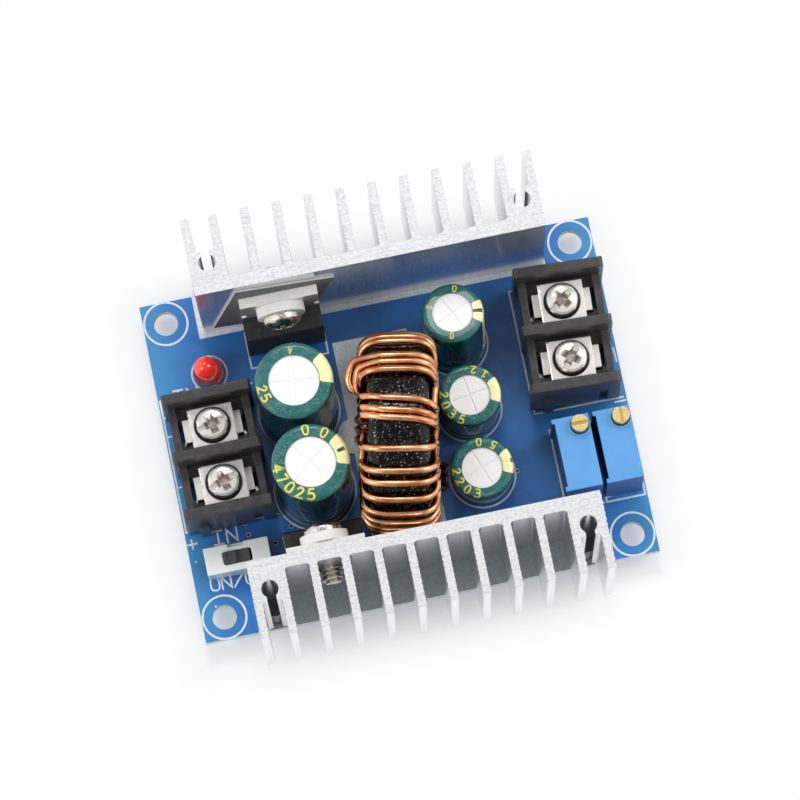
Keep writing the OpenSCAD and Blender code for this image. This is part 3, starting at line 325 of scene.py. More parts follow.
# Left, front, right and rear of each solid field.
under_front_sink, under_rear_sink = (-22.9, -22.6, 22.9, -16.4), (-23.05, 16.9, 23.25, 22.6)
under_inductor = (-6.2, -15.0, 3.7, 12.85)
input_outline = [
    [(-17.5, 9.8), (-29.75, 9.8), (-29.75, -7.9), (-28.15, -7.93)],
    [(-26.95, -7.93), (-17.5, -7.93)],
]
input_rungs = [[(-29.6, y), (-28.8, y)] for y in (7.5, 4.92, 2.36, -1.9)]
output_outline = [
    [(18.3, -0.15), (17.78, -0.42), (17.8, -1.75), (29.5, -1.8)],
    [(17.8, -0.9), (17.8, 14.9), (29.5, 14.9)],
    [(29.61, 4.8), (29.72, 3.0)],
]
trimmer_outline = [
    [(25.2, -14.3), (24.62, -14.4), (24.62, -15.0), (29.72, -15.0), (29.72, -4.2), (24.62, -4.2)],
    [(24.2, -4.2), (19.25, -4.2), (19.25, -15.0), (24.2, -15.0)],
]
transistor_outline = [
    [(-17.15, 16.5), (-17.15, 11.68), (-6.95, 11.68), (-6.95, 16.5)],
    [(-17.5, -16.0), (-17.5, -11.1), (-7.3, -11.1), (-7.3, -16.0)],
]
signs = written("IN", -26.45, -10.3, 1.77) + written("IN", -27.85, 9.0, 1.77)
signs += written("+", -29.85, -10.25, 1.3) + written("-", 28.4, -3.05, 1.5)
signs += written("ON/OFF", -27.93, -16.15, 1.6, 0.2)
print_dots = ((-29.22, -11.95), (-27.84, -18.2), (-26.9, 16.95))

print_mesh = bmesh.new()
for left, front, right, rear in (under_front_sink, under_rear_sink, under_inductor):
    field(print_mesh, [(left, front), (right, front), (right, rear), (left, rear)], on_board)
hole_rings = [circle(sx * hole_x, sy * hole_y, hole_ring) for sx in (-1, 1) for sy in (-1, 1)]
ink(print_mesh, hole_rings, hole_pen, on_board)
outlines = input_outline + input_rungs + output_outline + trimmer_outline + transistor_outline
ink(print_mesh, outlines, pen, on_board)
part_rings = [circle(*place, in_cap_ring) for place in in_cap_places]
part_rings += [circle(*place, out_cap_ring) for place in out_cap_places]
ink(print_mesh, part_rings + [circle(*lamp_place, lamp_ring)], pen, on_board)
ink(print_mesh, signs, pen, on_board)
ink(print_mesh, [circle(*place, dot_pen / 2, 8) for place in print_dots], dot_pen, on_board)
piece("board_print", print_mesh, finish("board_white", print_look), smooth=False)

# Bare lands and vias: tinned copper that the mask leaves open, round the inductor's rear lead and at the
# holes that join the copper of the two sides.
via_places = ((14.0, -8.64), (-22.0, -8.3), (-16.2, -9.84), (-18.6, -11.62), (21.28, 15.39), (-21.86, -9.85))
via_land_r, via_land_pen, via_bore_r, via_bore_pen = 0.26, 0.1, 0.1, 0.19
lead_land, lead_land_r = (-5.6, 0.2), 2.4


def tin_look(at):
    pits = at.noise(6.0)
    return {
        "Base Color": pits.step(0.3, 0.7).mix(rgb(176, 180, 186), rgb(212, 214, 216)),
        "Roughness": 0.34 + 0.25 * pits,
        "Normal": pits.dent(0.02),
    }


# Painted shade: each via's bore is a dark disc laid on the board, standing for the shade in the hole.
def bore_shade_look(at):
    return {"Base Color": at.noise(5.0).mix(rgb(6, 10, 20), rgb(18, 26, 44))}


land_mesh, bore_mesh = bmesh.new(), bmesh.new()
ink(land_mesh, [circle(*place, via_land_r, 24) for place in via_places], via_land_pen, on_board)
field(land_mesh, circle(*lead_land, lead_land_r)[:-1], on_board, ink_layers)
ink(bore_mesh, [circle(*place, via_bore_r, 16) for place in via_places], via_bore_pen, on_board)
piece("bare_lands", land_mesh, finish("land_tin", tin_look, Metallic=0.4), smooth=False)
piece("via_bores", bore_mesh, finish("via_bore", bore_shade_look, Roughness=0.8), smooth=False)

# Solder joints under the board: tin-silver solder drawn up each lead into a small cone.
# It froze bright, with a fine frosting where it cooled last.


def solder_look(at):
    frost = at.noise(5.0, 4.0).step(0.4, 0.7)
    return {
        "Base Color": frost.mix(rgb(196, 199, 203), rgb(226, 228, 230)),
        "Roughness": 0.16 + 0.3 * frost,
        "Normal": (at.noise(1.5, 2.0) + 0.1 * frost).dent(0.03, at.edge(0.12)),
    }


dress(finish("solder", solder_look, Metallic=1.0), "solder_joints")

# Heatsinks: an aluminium extrusion sawn to length, with rippled fins on a plate and a pin channel at each
# end. The sawn ends are matt, bright and mottled; the drawn faces are nearly mirrors, with faint lines along
# the extrusion.


def sink_look(at):
    sawn = at.facing().step(0.6, 0.9)
    blotch = at.noise(2.6, 4.0, 0.6)
    saw = at.stretched(0.8, 11.0, 1.0).noise(1.0, 2.0)
    mottle = 0.6 * blotch + 0.4 * saw
    lines = at.stretched(7.0, 7.0, 0.06).noise(1.0, 3.0, 0.6)
    fleck = at.noise(3.0).step(0.62, 0.7)
    drawn = lines.step(0.3, 0.7).mix(rgb(226, 227, 230), rgb(240, 241, 243))
    drawn = (0.3 * fleck).mix(drawn, rgb(252, 252, 253))
    cut = mottle.step(0.34, 0.62).mix(rgb(196, 197, 201), rgb(228, 228, 230))
    relief = sawn * mottle + (1 - sawn) * (0.12 * lines + 0.04 * fleck)
    return {
        "Base Color": sawn.mix(drawn, cut),
        "Metallic": 0.85 - 0.5 * sawn,
        "Roughness": sawn * (0.4 + 0.2 * blotch) + (1 - sawn) * (0.14 + 0.1 * lines + 0.1 * fleck),
        "Normal": relief.dent(0.035, at.edge(0.1)),
    }


dress(finish("sink_aluminium", sink_look), "front_heatsink", "rear_heatsink")

# Heatsink pins: plain steel rods pressed into the round channels of the extrusions, and tinned only where
# they are soldered. The other leads are drawn wire or stamped strip, tinned all over and soldered.


def grained(dark, light, noise, roughness, depth, edge, stretch=None):
    """The look of a plain piece: one noise gives its colour, its roughness and its relief."""
    def look(at):
        grain = (at.stretched(*stretch) if stretch else at).noise(*noise)
        least, spread = roughness
        return {
            "Base Color": grain.mix(dark, light),
            "Roughness": least + spread * grain,
            "Normal": grain.dent(depth, at.edge(edge)),
        }
    return look


steel_look = grained(rgb(74, 74, 76), rgb(112, 112, 113), (2.0, 4.0), (0.3, 0.25), 0.01, 0.06)
lead_look = grained(rgb(178, 178, 176), rgb(214, 213, 210), (1.0, 2.0), (0.22, 0.2), 0.01, 0.06,
                    stretch=(8.0, 8.0, 0.4))
dress(finish("pin_steel", steel_look, Metallic=1.0), "heatsink_pins")
dress(finish("plated_pins", lead_look, Metallic=1.0),
      "capacitor_leads", "lamp_leads", "switch_pins", "trimmer_pins", "chip_legs")

# Power transistors: black epoxy moulded over a copper frame whose tab is tinned and left bare.
# The moulding has a matt sparked face; the tab is stamped, with a rolled edge. The chips are moulded alike.


def moulding_look(at):
    spark = at.noise(14.0)
    worn = at.noise(1.2, 4.0).step(0.45, 0.75)
    return {
        "Base Color": worn.mix(rgb(36, 36, 38), rgb(54, 54, 56)),
        "Roughness": 0.5 + 0.2 * spark,
        "Normal": spark.dent(0.012, at.edge(0.15)),
    }


def tab_look(at):
    rolled = at.stretched(0.5, 0.5, 7.0).noise(1.0)
    dull = at.noise(0.9, 4.0).step(0.35, 0.7)
    return {
        "Base Color": dull.mix(rgb(238, 237, 233), rgb(249, 248, 245)),
        # The upward faces are made less metallic, so they render lighter than the sides: painted light.
        "Metallic": 0.9 - 0.85 * at.facing().step(0.6, 0.9),
        "Roughness": 0.3 + 0.2 * rolled,
        "Normal": rolled.dent(0.015, at.edge(0.12)),
    }


dress(finish("moulded_case", moulding_look),
      "front_transistor_case", "rear_transistor_case", "controller_chip", "amplifier_chip")
dress(finish("tab_metal", tab_look), "front_transistor_frame", "rear_transistor_frame")

# Insulating pads: grey silicone rubber filled with glass cloth, cut from sheet, with pale cut edges.
# The tab's screw holds each one between the tab and its heatsink.


def pad_look(at):
    cloth = at.node("TexChecker", {}, {"Vector": at, "Scale": 4.0}, "Fac")
    dust = at.noise(4.0, 4.0)
    cut = 1 - abs(at.facing("Y")).step(0.4, 0.8)
    grey = dust.mix(rgb(92, 94, 96), rgb(120, 122, 124))
    return {
        "Base Color": cut.mix(grey, rgb(206, 207, 206)),
        "Roughness": 0.6 + 0.2 * dust,
        "Normal": (cloth + dust).dent(0.015, at.edge(0.06)),
    }


dress(finish("pad_grey", pad_look), "front_insulating_pad", "rear_insulating_pad")

# Shoulder bushes: turned washers of white nylon, one under the head of each tab screw.
# They keep the screws off the tabs.


def bush_look(at):
    cloud = at.noise(1.5)
    return {
        "Base Color": cloud.mix(rgb(234, 234, 230), rgb(250, 250, 247)),
        "Roughness": 0.35 + 0.2 * cloud,
        "Normal": at.noise(8.0).dent(0.01, at.edge(0.15)),
    }


dress(finish("bush_white", bush_look), "shoulder_bushes")

# Tab screws: M3 pan-head cross-recess screws of zinc-plated steel, through bush, tab and pad into the plate.
# The heads are cold headed with a tapered cross, and the rolled thread comes out between two fins.
tab_head_r, tab_head_h, tab_head_rim, tab_head_chamfer, tab_screw_z = 2.48, 1.68, 0.55, 0.12, 16.0
# Radius, depth, length and pitch of the thread.
tab_thread = (1.45, 0.36, 6.45, 0.6)
# Length and width of the recess at its top and at its foot, and its depth.
tab_cross = ((2.9, 0.72), (1.3, 0.42), 1.25)
overcut = 0.02
# Place along the board, seat of the head, the way that it faces and the turn of its cross.
tab_screw_seats = ((-12.39, -14.13, 1, 24), (-12.04, 14.73, -1, 8))


def zinc_look(at):
    plate = at.noise(3.0, 4.0).step(0.35, 0.7)
    turned = at.noise(9.0, 2.0)
    return {
        "Base Color": plate.mix(rgb(208, 202, 190), rgb(234, 230, 220)),
        "Roughness": 0.16 + 0.16 * plate,
        "Normal": turned.dent(0.004, at.edge(0.08)),
    }


def lathe(mesh, profile, steps=48):
    """Adds a turned shape about Z from (radius, height) points, closed at both ends."""
    rows = []
    for radius, height in profile:
        if radius == 0:
            rows.append([mesh.verts.new((0, 0, height * mm))])
        else:
            rows.append([mesh.verts.new((radius * mm * math.cos(a), radius * mm * math.sin(a), height * mm))
                         for a in angles(steps)])
    for low, high in zip(rows, rows[1:]):
        for i in range(steps):
            j = (i + 1) % steps
            corners = [low[i % len(low)], low[j % len(low)], high[j % len(high)], high[i % len(high)]]
            mesh.faces.new(list(dict.fromkeys(corners)))


def skin(mesh, rows):
    """Adds the faces of a solid from rows of points round it, with a flat face at each end."""
    steps = len(rows[0])
    for a, b in zip(rows, rows[1:]):
        for i in range(steps):
            j = (i + 1) % steps
            mesh.faces.new((a[i], a[j], b[j], b[i]))
    mesh.faces.new(rows[0][::-1])
    mesh.faces.new(rows[-1])


def wedge(top, foot, depth, height, turn):
    """A tapered block to cut a recess with: (length, width) at its top and at its foot."""
    made = bmesh.new()
    rows = []
    for (length, width), z in ((top, height), (foot, height - depth)):
        rows.append([made.verts.new((x * length / 2 * mm, y * width / 2 * mm, z * mm))
                     for x, y in ((-1, -1), (1, -1), (1, 1), (-1, 1))])
    skin(made, rows)
    made.transform(Matrix.Rotation(math.radians(turn), 4, "Z"))
    return made


def carved(solid, cutters):
    """A solid with each cutter taken out of it, as a new mesh."""
    blank, tools = shown("blank", solid), [shown("cutter", cutter) for cutter in cutters]
    for tool in tools:
        step = blank.modifiers.new("cut", "BOOLEAN")
        step.operation, step.solver, step.object = "DIFFERENCE", "EXACT", tool
    bpy.context.view_layer.update()
    result = bmesh.new()
    result.from_mesh(blank.evaluated_get(bpy.context.evaluated_depsgraph_get()).to_mesh())
    for made in [blank] + tools:
        bpy.data.objects.remove(made)
    return result


def thread(mesh, radius, depth, length, pitch, steps=24):
    """Adds a screw thread about Z, down from 0 to a blunt point."""
    rows_per_pitch, point_rows, point_taper, flank = 8, 6, 0.35, 1.4
    count = round(length / pitch * rows_per_pitch)
    rows = []
    for k in range(count + 1):
        z = length * (k / count - 1)
        row = []
        for i, a in enumerate(angles(steps)):
            crest = 1 - abs(2 * ((z / pitch - i / steps) % 1) - 1)
            r = radius - depth * (1 - min(1, flank * crest)) - point_taper * max(0, 1 - k / point_rows)
            row.append(mesh.verts.new((r * mm * math.cos(a), r * mm * math.sin(a), z * mm)))
        rows.append(row)
    skin(mesh, rows)


def add(whole, part, place):
    """Moves a part to its place and adds it to a mesh."""
    part.transform(place)
    kept = bpy.data.meshes.new("part")
    part.to_mesh(kept)
    part.free()
    whole.from_mesh(kept)
    bpy.data.meshes.remove(kept)


def add_screw(mesh, profile, cuts, grip, place):
    """Adds a screw in its place: a turned head with its recesses, and the thread under it."""
    head, shank = bmesh.new(), bmesh.new()
    lathe(head, profile)
    thread(shank, *grip)
    for part in (carved(head, cuts), shank):
        add(mesh, part, place)


def softened(made, width, angle=35.0):
    """Rounds the sharp edges of a piece by a few hundredths of a millimetre."""
    step = made.modifiers.new("softened", "BEVEL")
    step.width, step.segments = width * mm, 2
    step.limit_method, step.angle_limit = "ANGLE", math.radians(angle)
    step.harden_normals = True


tab_profile = [(0, 0.0), (tab_head_r - tab_head_chamfer, 0.0), (tab_head_r, tab_head_chamfer)]
tab_profile += [(tab_head_r * math.cos(a), tab_head_rim + (tab_head_h - tab_head_rim) * math.sin(a))
                for a in (math.radians(9 * k) for k in range(10))] + [(0, tab_head_h)]
tab_screw_mesh = bmesh.new()
for x, seat_y, way, turn in tab_screw_seats:
    cuts = [wedge(*tab_cross, tab_head_h + overcut, turn + q) for q in (0, 90)]
    seat = Matrix.Translation((x * mm, seat_y * mm, tab_screw_z * mm))
    laid = Matrix.Rotation(math.radians(-90 * way), 4, "X")
    add_screw(tab_screw_mesh, tab_profile, cuts, tab_thread, seat @ laid)
zinc_screw = finish("zinc_screw", zinc_look, Metallic=1.0)
tab_screws = piece("tab_screw_pair", tab_screw_mesh, zinc_screw, smooth=False)
softened(tab_screws, 0.05)
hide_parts("tab_screws")

# Inductor core: a pressed iron-powder ring under a thick coat of black epoxy.
# The coat is tumbled on, so it has a glossy orange peel. The few pale metallic specks on it are painted
# glints.


def core_look(at):
    peel = at.noise(0.8, 2.0)
    grit = at.noise(2.4, 1.0).step(0.55, 0.75)
    # Painted glints: small pale metallic specks scattered over the coat.
    painted_glint = at.noise(4.2, 1.0).step(0.69, 0.75)
    coat = grit.mix(rgb(7, 5, 5), rgb(18, 14, 14))
    return {
        "Base Color": painted_glint.mix(coat, rgb(236, 234, 236)),
        "Metallic": 0.8 * painted_glint,
        "Roughness": 0.04 + 0.03 * peel,
        "Normal": (grit + 0.5 * peel).dent(0.07, at.edge(0.3)),
    }


dress(finish("core_coat", core_look, IOR=1.38), "inductor_core")

# Inductor winding: eleven turns of three parallel enamelled copper wires, wound by hand on the ring.
# The wire is annealed, so it bows over the rim in soft arches and no two turns lie quite alike.
wire_r, strand_count, turn_count = 0.465, 3, 11
ring_place, ring_turn = Vector((-0.33, -3.1, 14.58)), -10.2
arch_half, arch_foot, arch_rim, top_rim, arch_square, arch_steps = 4.72, 9.2, 12.65, 12.4, 3.4, 18
bore_half, bore_r, bore_bend, bend_steps = 4.465, 6.285, 2.015, 6
turn_pitch, strand_pitch, last_turn_angle, top_turn = 32.6, 9.2, 255.0, 5
# How much of its pitch a turn has moved on at the left and the right edge of the bore, and along each bend.
bore_shares, bend_share = ((-1, 0.32), (1, 0.64)), 0.04
# Angles of the three strands on the rim, from the front over the top, and how far each turn leans across it.
rim_angles = {
    7: (148, 157, 166), 6: (119.9, 125.9, 131.4), 5: (89, 93.7, 101),
    4: (50, 58, 71.2), 3: (16.5, 26.2, 38.6), 2: (-11, -2, 7),
}
rim_lean = {7: 1.0, 6: 1.5, 5: 10.0, 4: 1.0, 3: 1.5, 2: 1.0}
# Two strands of one turn leave the rim early and hang in slack loops beside the ring: along its axis, radius
# and angle of their points, by turn and strand.
slack = {
    (6, 2): [(-5.2, 11.9, 131), (-5.9, 11.0, 128), (-6.2, 10.0, 123.5), (-5.9, 9.2, 119.5), (-5.3, 8.7, 119),
             (-4.7, 8.3, 125)],
    (6, 1): [(-4.7, 11.7, 125.5), (-5.1, 10.8, 122.5), (-5.2, 9.9, 119), (-5.1, 9.2, 116.5), (-4.8, 8.7, 117),
             (-4.6, 8.3, 123)],
}
slack_from = 12
# The leads take the place of the first and last few points: out from the ring's middle, and height.
lead_out, lead_pitch, start_lead_y, end_lead_y, lead_points = 5.54, 1.3, -3.4, 3.22, 6
lead_bend = ((lead_out, -2.0), (lead_out, 0.6), (lead_out - 0.05, 1.9), (4.75, 2.75))


def coil_point(along, radius, angle):
    """A point by its place along the ring's axis, its distance from the axis and its angle round it."""
    a = math.radians(angle)
    return Vector((along, -radius * math.cos(a), radius * math.sin(a)))


def over_rim(angle, lean, rim):
    """One pass over the rim from right to left, a squarish arch."""
    points = []
    for k in range(arch_steps + 1):
        t = math.pi * k / arch_steps
        across = math.copysign(abs(math.cos(t)) ** (2 / arch_square), math.cos(t)) * arch_half
        rise = arch_foot + (rim - arch_foot) * math.sin(t) ** (2 / arch_square)
        points.append(coil_point(across, rise, angle + lean * (k / arch_steps - 0.5)))
    return points


def through_bore(angle):
    """One pass through the bore from left to right, a quarter bend at each edge, as the wire moves on to its
    next turn."""
    points = []
    for side, share in bore_shares:
        for k in range(bend_steps + 1):
            a = math.radians(90 * k / bend_steps)
            bent, down = (math.cos(a), math.sin(a)) if side < 0 else (math.sin(a), math.cos(a))
            along = side * (bore_half - bore_bend + bore_bend * bent)
            radius = bore_r + bore_bend * (1 - down)
            moved = share + bend_share * k / bend_steps
            points.append(coil_point(along, radius, angle + turn_pitch * moved))
    return points


def strand_path(strand):
    """The points of one strand from lead to lead."""
    offset = strand - 1
    points = []
    for turn in range(turn_count):
        inner = last_turn_angle - (turn_count - 1 - turn) * turn_pitch + offset * strand_pitch
        rim = rim_angles[turn][strand] if turn in rim_angles else inner
        arch = over_rim(rim, rim_lean.get(turn, 0.0), top_rim if turn == top_turn else arch_rim)
        loop = [coil_point(*place) for place in slack.get((turn, strand), [])]
        points += arch[:slack_from] + loop if loop else arch
        if turn < turn_count - 1:
            points += through_bore(inner)
    first, last = start_lead_y - offset * lead_pitch, end_lead_y - offset * lead_pitch
    lead_in = [Vector((out, first, z - ring_place.z)) for out, z in lead_bend]
    lead_off = [Vector((-out, last, z - ring_place.z)) for out, z in reversed(lead_bend)]
    return lead_in + points[lead_points:-lead_points] + lead_off


def smoothed(points, spacing=0.3):
    """A Catmull-Rom line through some points, with even steps."""
    line = []
    padded = [2 * points[0] - points[1]] + points + [2 * points[-1] - points[-2]]
    for a, b, c, d in zip(padded, padded[1:], padded[2:], padded[3:]):
        steps = max(1, round((c - b).length / spacing))
        for k in range(steps):
            t = k / steps
            line.append(0.5 * (2 * b + (c - a) * t + (2 * a - 5 * b + 4 * c - d) * t * t
                               + (3 * b - a - 3 * c + d) * t ** 3))
    return line + [points[-1]]


def tube(mesh, line, radius, steps=12):
    """Adds a round wire along a line of points."""
    across = None
    rows = []
    for i, point in enumerate(line):
        along = (line[min(i + 1, len(line) - 1)] - line[max(i - 1, 0)]).normalized()
        across = along.orthogonal() if across is None else across - along * across.dot(along)
        across.normalize()
        up = along.cross(across)
        rows.append([mesh.verts.new((point + radius * (math.cos(a) * across + math.sin(a) * up)) * mm)
                     for a in angles(steps)])
    skin(mesh, rows)


def enamel_look(at):
    tone = at.noise(0.5)
    drawn = at.noise(6.0)
    return {
        "Base Color": tone.step(0.3, 0.7).mix(rgb(208, 140, 94), rgb(244, 198, 152)),
        # Painted highlight: the top of each wire is made less metallic, so it renders as a light line.
        "Metallic": 1 - 0.5 * at.facing().step(0.86, 1.0),
        "Roughness": 0.1 + 0.1 * drawn,
        "Normal": drawn.dent(0.012),
    }


winding_mesh = bmesh.new()
stand = Matrix.Rotation(math.radians(ring_turn), 3, "Z")
for strand in range(strand_count):
    tube(winding_mesh, [stand @ point + ring_place for point in smoothed(strand_path(strand))], wire_r)
enamelled_wire = finish("enamelled_wire", enamel_look,
                        Coat_Weight=0.5, Coat_Roughness=0.08, Coat_Tint=rgb(255, 226, 200))
winding = piece("winding_strands", winding_mesh, enamelled_wire)
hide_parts("inductor_winding")

# Capacitors: drawn aluminium cans with a scored vent, in a green plastic sleeve shrunk over the shoulder.
# The sleeve is printed with a pale stripe of minus signs and with plain numbers, and wrinkles a little as it
# shrinks.
in_cap, out_cap = (10.0, 20.0), (8.0, 13.0)
cap_base, cap_edge, crimp_z, crimp_r, crimp_depth = 2.3, 0.7, 2.6, 0.8, 0.4
bare_top_share = 0.325
stripe_lap, stripe_foot, stripe_step, stripe_columns = 0.06, 0.3, 0.15, 12
corner_reach, corner_pull = 0.5, 3.0
mark_pen, mark_lift, mark_spacing = 0.5, 0.02, 0.15
number_pen_share, number_spacing = 0.2, 0.1
# Size, foot on the board, lean to the rear and to the right, and the stripe's edges in degrees round the can.
cap_stand = {
    "input_capacitor_1": (in_cap, in_cap_places[0], 0.0, 0.0, -14.5, 35.5),
    "input_capacitor_2": (in_cap, in_cap_places[1], 0.0, 0.0, -14.5, 36.0),
    "output_capacitor_1": (out_cap, out_cap_places[0], 6.0, 0.0, -29.5, 15.5),
    "output_capacitor_2": (out_cap, out_cap_places[1], -3.3, 0.0, -24.5, 25.5),
    "output_capacitor_3": (out_cap, out_cap_places[2], -6.3, -1.6, -21.5, 27.5),
}
# Numbers on each sleeve: place in degrees, degrees to the next numeral, height, and how far out they stand.
cap_numbers = {
    "input_capacitor_1": [("4", 86, 0, 0.8, 1.0), ("25", 184, 17, 1.2, 1.55)],
    "input_capacitor_2": [("0", 88, 0, 1.25, 1.55), ("0", 54, 0, 1.25, 1.5), ("47025", 180, 20, 1.35, 1.6)],
    "output_capacitor_1": [("0", 74, 0, 0.8, 1.0), ("2", 155, 0, 0.7, 0.8), ("0", 257, 0, 0.75, 0.9)],
    "output_capacitor_2": [("2", 70, 0, 0.95, 1.15), ("1", 44, 0, 0.95, 1.15), ("2035", 168, 24, 1.05, 1.25)],
    "output_capacitor_3": [("0", 86, 0, 0.95, 1.2), ("5", 52, 0, 0.95, 1.15), ("2203", 176, 24, 1.05, 1.25)],
}
# Minus signs on each stripe: half their length, and how far out from the bare top each one's middle stands.
cap_minus = {
    "input_capacitor_1": (0.6, (4.6, 10.4, 16.2)),
    "input_capacitor_2": (0.45, (1.1, 6.9, 12.7)),
    "output_capacitor_1": (0.6, (0.9, 5.4, 9.9)),
    "output_capacitor_2": (0.6, (4.2, 8.7)),
    "output_capacitor_3": (0.6, (1.6, 6.1, 10.6)),
}


class Sleeve:
    """The outside of one sleeve, as a sheet that print is laid on."""

    def __init__(self, size, place, lean, side):
        self.width, self.height = size
        turn = Euler((math.radians(-lean), math.radians(side), 0)).to_matrix().to_4x4()
        self.stand = Matrix.Translation((place[0] * mm, place[1] * mm, cap_base * mm)) @ turn
        self.inner, self.flat = bare_top_share * self.width, self.width / 2 - cap_edge
        self.reach = self.flat - self.inner + cap_edge * math.pi / 2 + self.height - cap_edge
        self.per_mm = 360 / (math.pi * self.width * 0.9)

    def point(self, around, out, lift):
        """A point over the sleeve: degrees round the can, and millimetres out from the edge of its bare top
        and on down its side."""
        over = (out - self.flat + self.inner) / cap_edge
        shoulder = self.height - cap_edge
        if over < 0:
            r, z = self.inner + out, self.height + lift
        elif over < math.pi / 2:
            r = self.flat + (cap_edge + lift) * math.sin(over)
            z = shoulder + (cap_edge + lift) * math.cos(over)
        else:
            z = shoulder - cap_edge * (over - math.pi / 2)
            groove = math.sqrt(max(0, crimp_r ** 2 - (z - crimp_z) ** 2)) - crimp_r + crimp_depth
            r = self.width / 2 + lift - max(0, groove)
        a = math.radians(around)
        return self.stand @ Vector((r * math.cos(a) * mm, r * math.sin(a) * mm, z * mm))

    def sheet(self, around, foot, lift):
        """Gives the function that lays a flat sheet over the sleeve, upright towards the bare top."""
        def place(u, v, layer):
            return self.point(around + u * self.per_mm, foot - v, lift + ink_step * layer)
        return place

    def add_stripe(self, mesh, first, last):
        """Adds the stripe between two angles, with its upper corners drawn in."""
        rows = []
        for k in range(int((self.reach - stripe_foot) / stripe_step) + 1):
            pulled = corner_pull * max(0, 1 - k * stripe_step / corner_reach) ** 2
            span, out = last - first - 2 * pulled, stripe_lap + k * stripe_step
            rows.append([mesh.verts.new(self.point(first + pulled + span * i / stripe_columns, out, ink_lift))
                         for i in range(stripe_columns + 1)])
        for a, b in zip(rows, rows[1:]):
            for i in range(stripe_columns):
                mesh.faces.new((a[i], a[i + 1], b[i + 1], b[i]))


def can_look(at):
    spun = at.noise(4.0, 4.0).step(0.3, 0.7)
    return {
        "Base Color": spun.mix(rgb(246, 246, 247), rgb(253, 253, 253)),
        # The upward faces are made less metallic, so the tops render lighter than the sides: painted light.
        "Metallic": 0.7 - 0.65 * at.facing().step(0.7, 0.95),
        "Roughness": 0.36 + 0.12 * spun,
        "Normal": spun.dent(0.006, at.edge(0.08)),
    }


def wrinkle(at):
    return at.stretched(0.9, 0.9, 0.35).noise(1.0, 4.0, 0.6)


def sleeve_look(at):
    tone = at.noise(0.6)
    # Painted shade: the sides of the sleeve are painted darker than its top and shoulder.
    shoulder = at.facing().step(0.1, 0.7)
    return {
        "Base Color": shoulder.mix(rgb(10, 64, 64), tone.mix(rgb(18, 92, 90), rgb(30, 112, 108))),
        "Roughness": 0.12 + 0.1 * tone,
        "Normal": wrinkle(at).dent(0.3, at.edge(0.1)),
    }


def stripe_look(at):
    thin = at.noise(2.0)
    return {
        "Base Color": thin.mix(rgb(248, 237, 164), rgb(253, 246, 190)),
        "Roughness": 0.28 + 0.15 * thin,
        "Normal": wrinkle(at).dent(0.2),
    }


def inked(dark, light, scale, roughness):
    """The look of print on a sleeve."""
    def look(at):
        return {"Base Color": at.noise(scale).mix(dark, light), "Roughness": roughness + 0.15 * at.noise(6.0)}
    return look


number_look = inked(rgb(222, 208, 66), rgb(240, 228, 96), 2.5, 0.3)
mark_look = inked(rgb(26, 62, 56), rgb(44, 82, 74), 3.0, 0.25)
can_aluminium = finish("can_aluminium", can_look)
sleeve_green = finish("sleeve_green", sleeve_look, Coat_Weight=0.5, Coat_Roughness=0.05)
stripe_mesh, number_mesh, mark_mesh = bmesh.new(), bmesh.new(), bmesh.new()
for name, (size, place, lean, side, stripe_from, stripe_to) in cap_stand.items():
    dress(can_aluminium, name + "_can")
    dress(sleeve_green, name + "_sleeve")
    sleeve = Sleeve(size, place, lean, side)
    sleeve.add_stripe(stripe_mesh, stripe_from, stripe_to)
    half, outs = cap_minus[name]
    for out in outs:
        on_stripe = sleeve.sheet((stripe_from + stripe_to) / 2, out, mark_lift)
        ink(mark_mesh, [[(0, -half), (0, half)]], mark_pen, on_stripe, mark_spacing)
    for words, around, step, tall, foot in cap_numbers[name]:
        for k, numeral in enumerate(words):
            left = around + k * step - letters[numeral][0] * tall / 2 * sleeve.per_mm
            on_sleeve = sleeve.sheet(left, foot, ink_lift)
            ink(number_mesh, written(numeral, 0, 0, tall), number_pen_share * tall, on_sleeve, number_spacing)
sleeve_pale = finish("sleeve_pale", stripe_look, Coat_Weight=0.4, Coat_Roughness=0.08)
piece("sleeve_stripes", stripe_mesh, sleeve_pale)
piece("sleeve_numbers", number_mesh, finish("sleeve_yellow", number_look))
piece("sleeve_marks", mark_mesh, finish("sleeve_mark", mark_look))

# Capacitor bungs: black rubber plugs that close the lower ends of the cans, with the leads through them.
# Each can is rolled in round its bung.
bung_look = grained(rgb(22, 22, 22), rgb(46, 46, 45), (3.0, 4.0), (0.7, 0.15), 0.02, 0.1)
dress(finish("bung_rubber", bung_look), "capacitor_bungs")

# Barrier terminals: housings of glass-filled black nylon, with three walls each.
# They are moulded with a fine sparked face, and scuffed a little in handling.


def housing_look(at):
    spark = at.noise(10.0)
    scuff = at.noise(0.9, 4.0, 0.6).step(0.45, 0.75)
    return {
        "Base Color": scuff.mix(rgb(60, 58, 59), rgb(78, 76, 76)),
        "Roughness": 0.22 + 0.14 * spark,
        "Normal": spark.dent(0.012, at.edge(0.25)),
    }


dress(finish("housing_black", housing_look), "input_terminal_housing", "output_terminal_housing")

# Terminal contacts and clamp plates: nickel-plated brass strip, pierced and bent.
# The contacts are soldered to the board. The plates are cupped for the screws' heads, and lift with them.
# Painted shade: within cup_r of each screw the clamp plate is painted dark, fading out by cup_rim.
cup_r, cup_rim = 2.3, 2.45


def nickel_look(at):
    rub = at.stretched(5.0, 0.7, 5.0).noise(1.0)
    cloud = at.noise(1.4).step(0.35, 0.7)
    return {
        "Base Color": cloud.mix(rgb(246, 241, 235), rgb(254, 251, 247)),
        # The upward faces are made less metallic, so they render lighter than the sides: painted light.
        "Metallic": 0.95 - 0.88 * at.facing().step(0.6, 0.95),
        "Roughness": 0.12 + 0.16 * rub,
        "Normal": (cloud + 0.3 * rub).dent(0.012, at.edge(0.25)),
    }


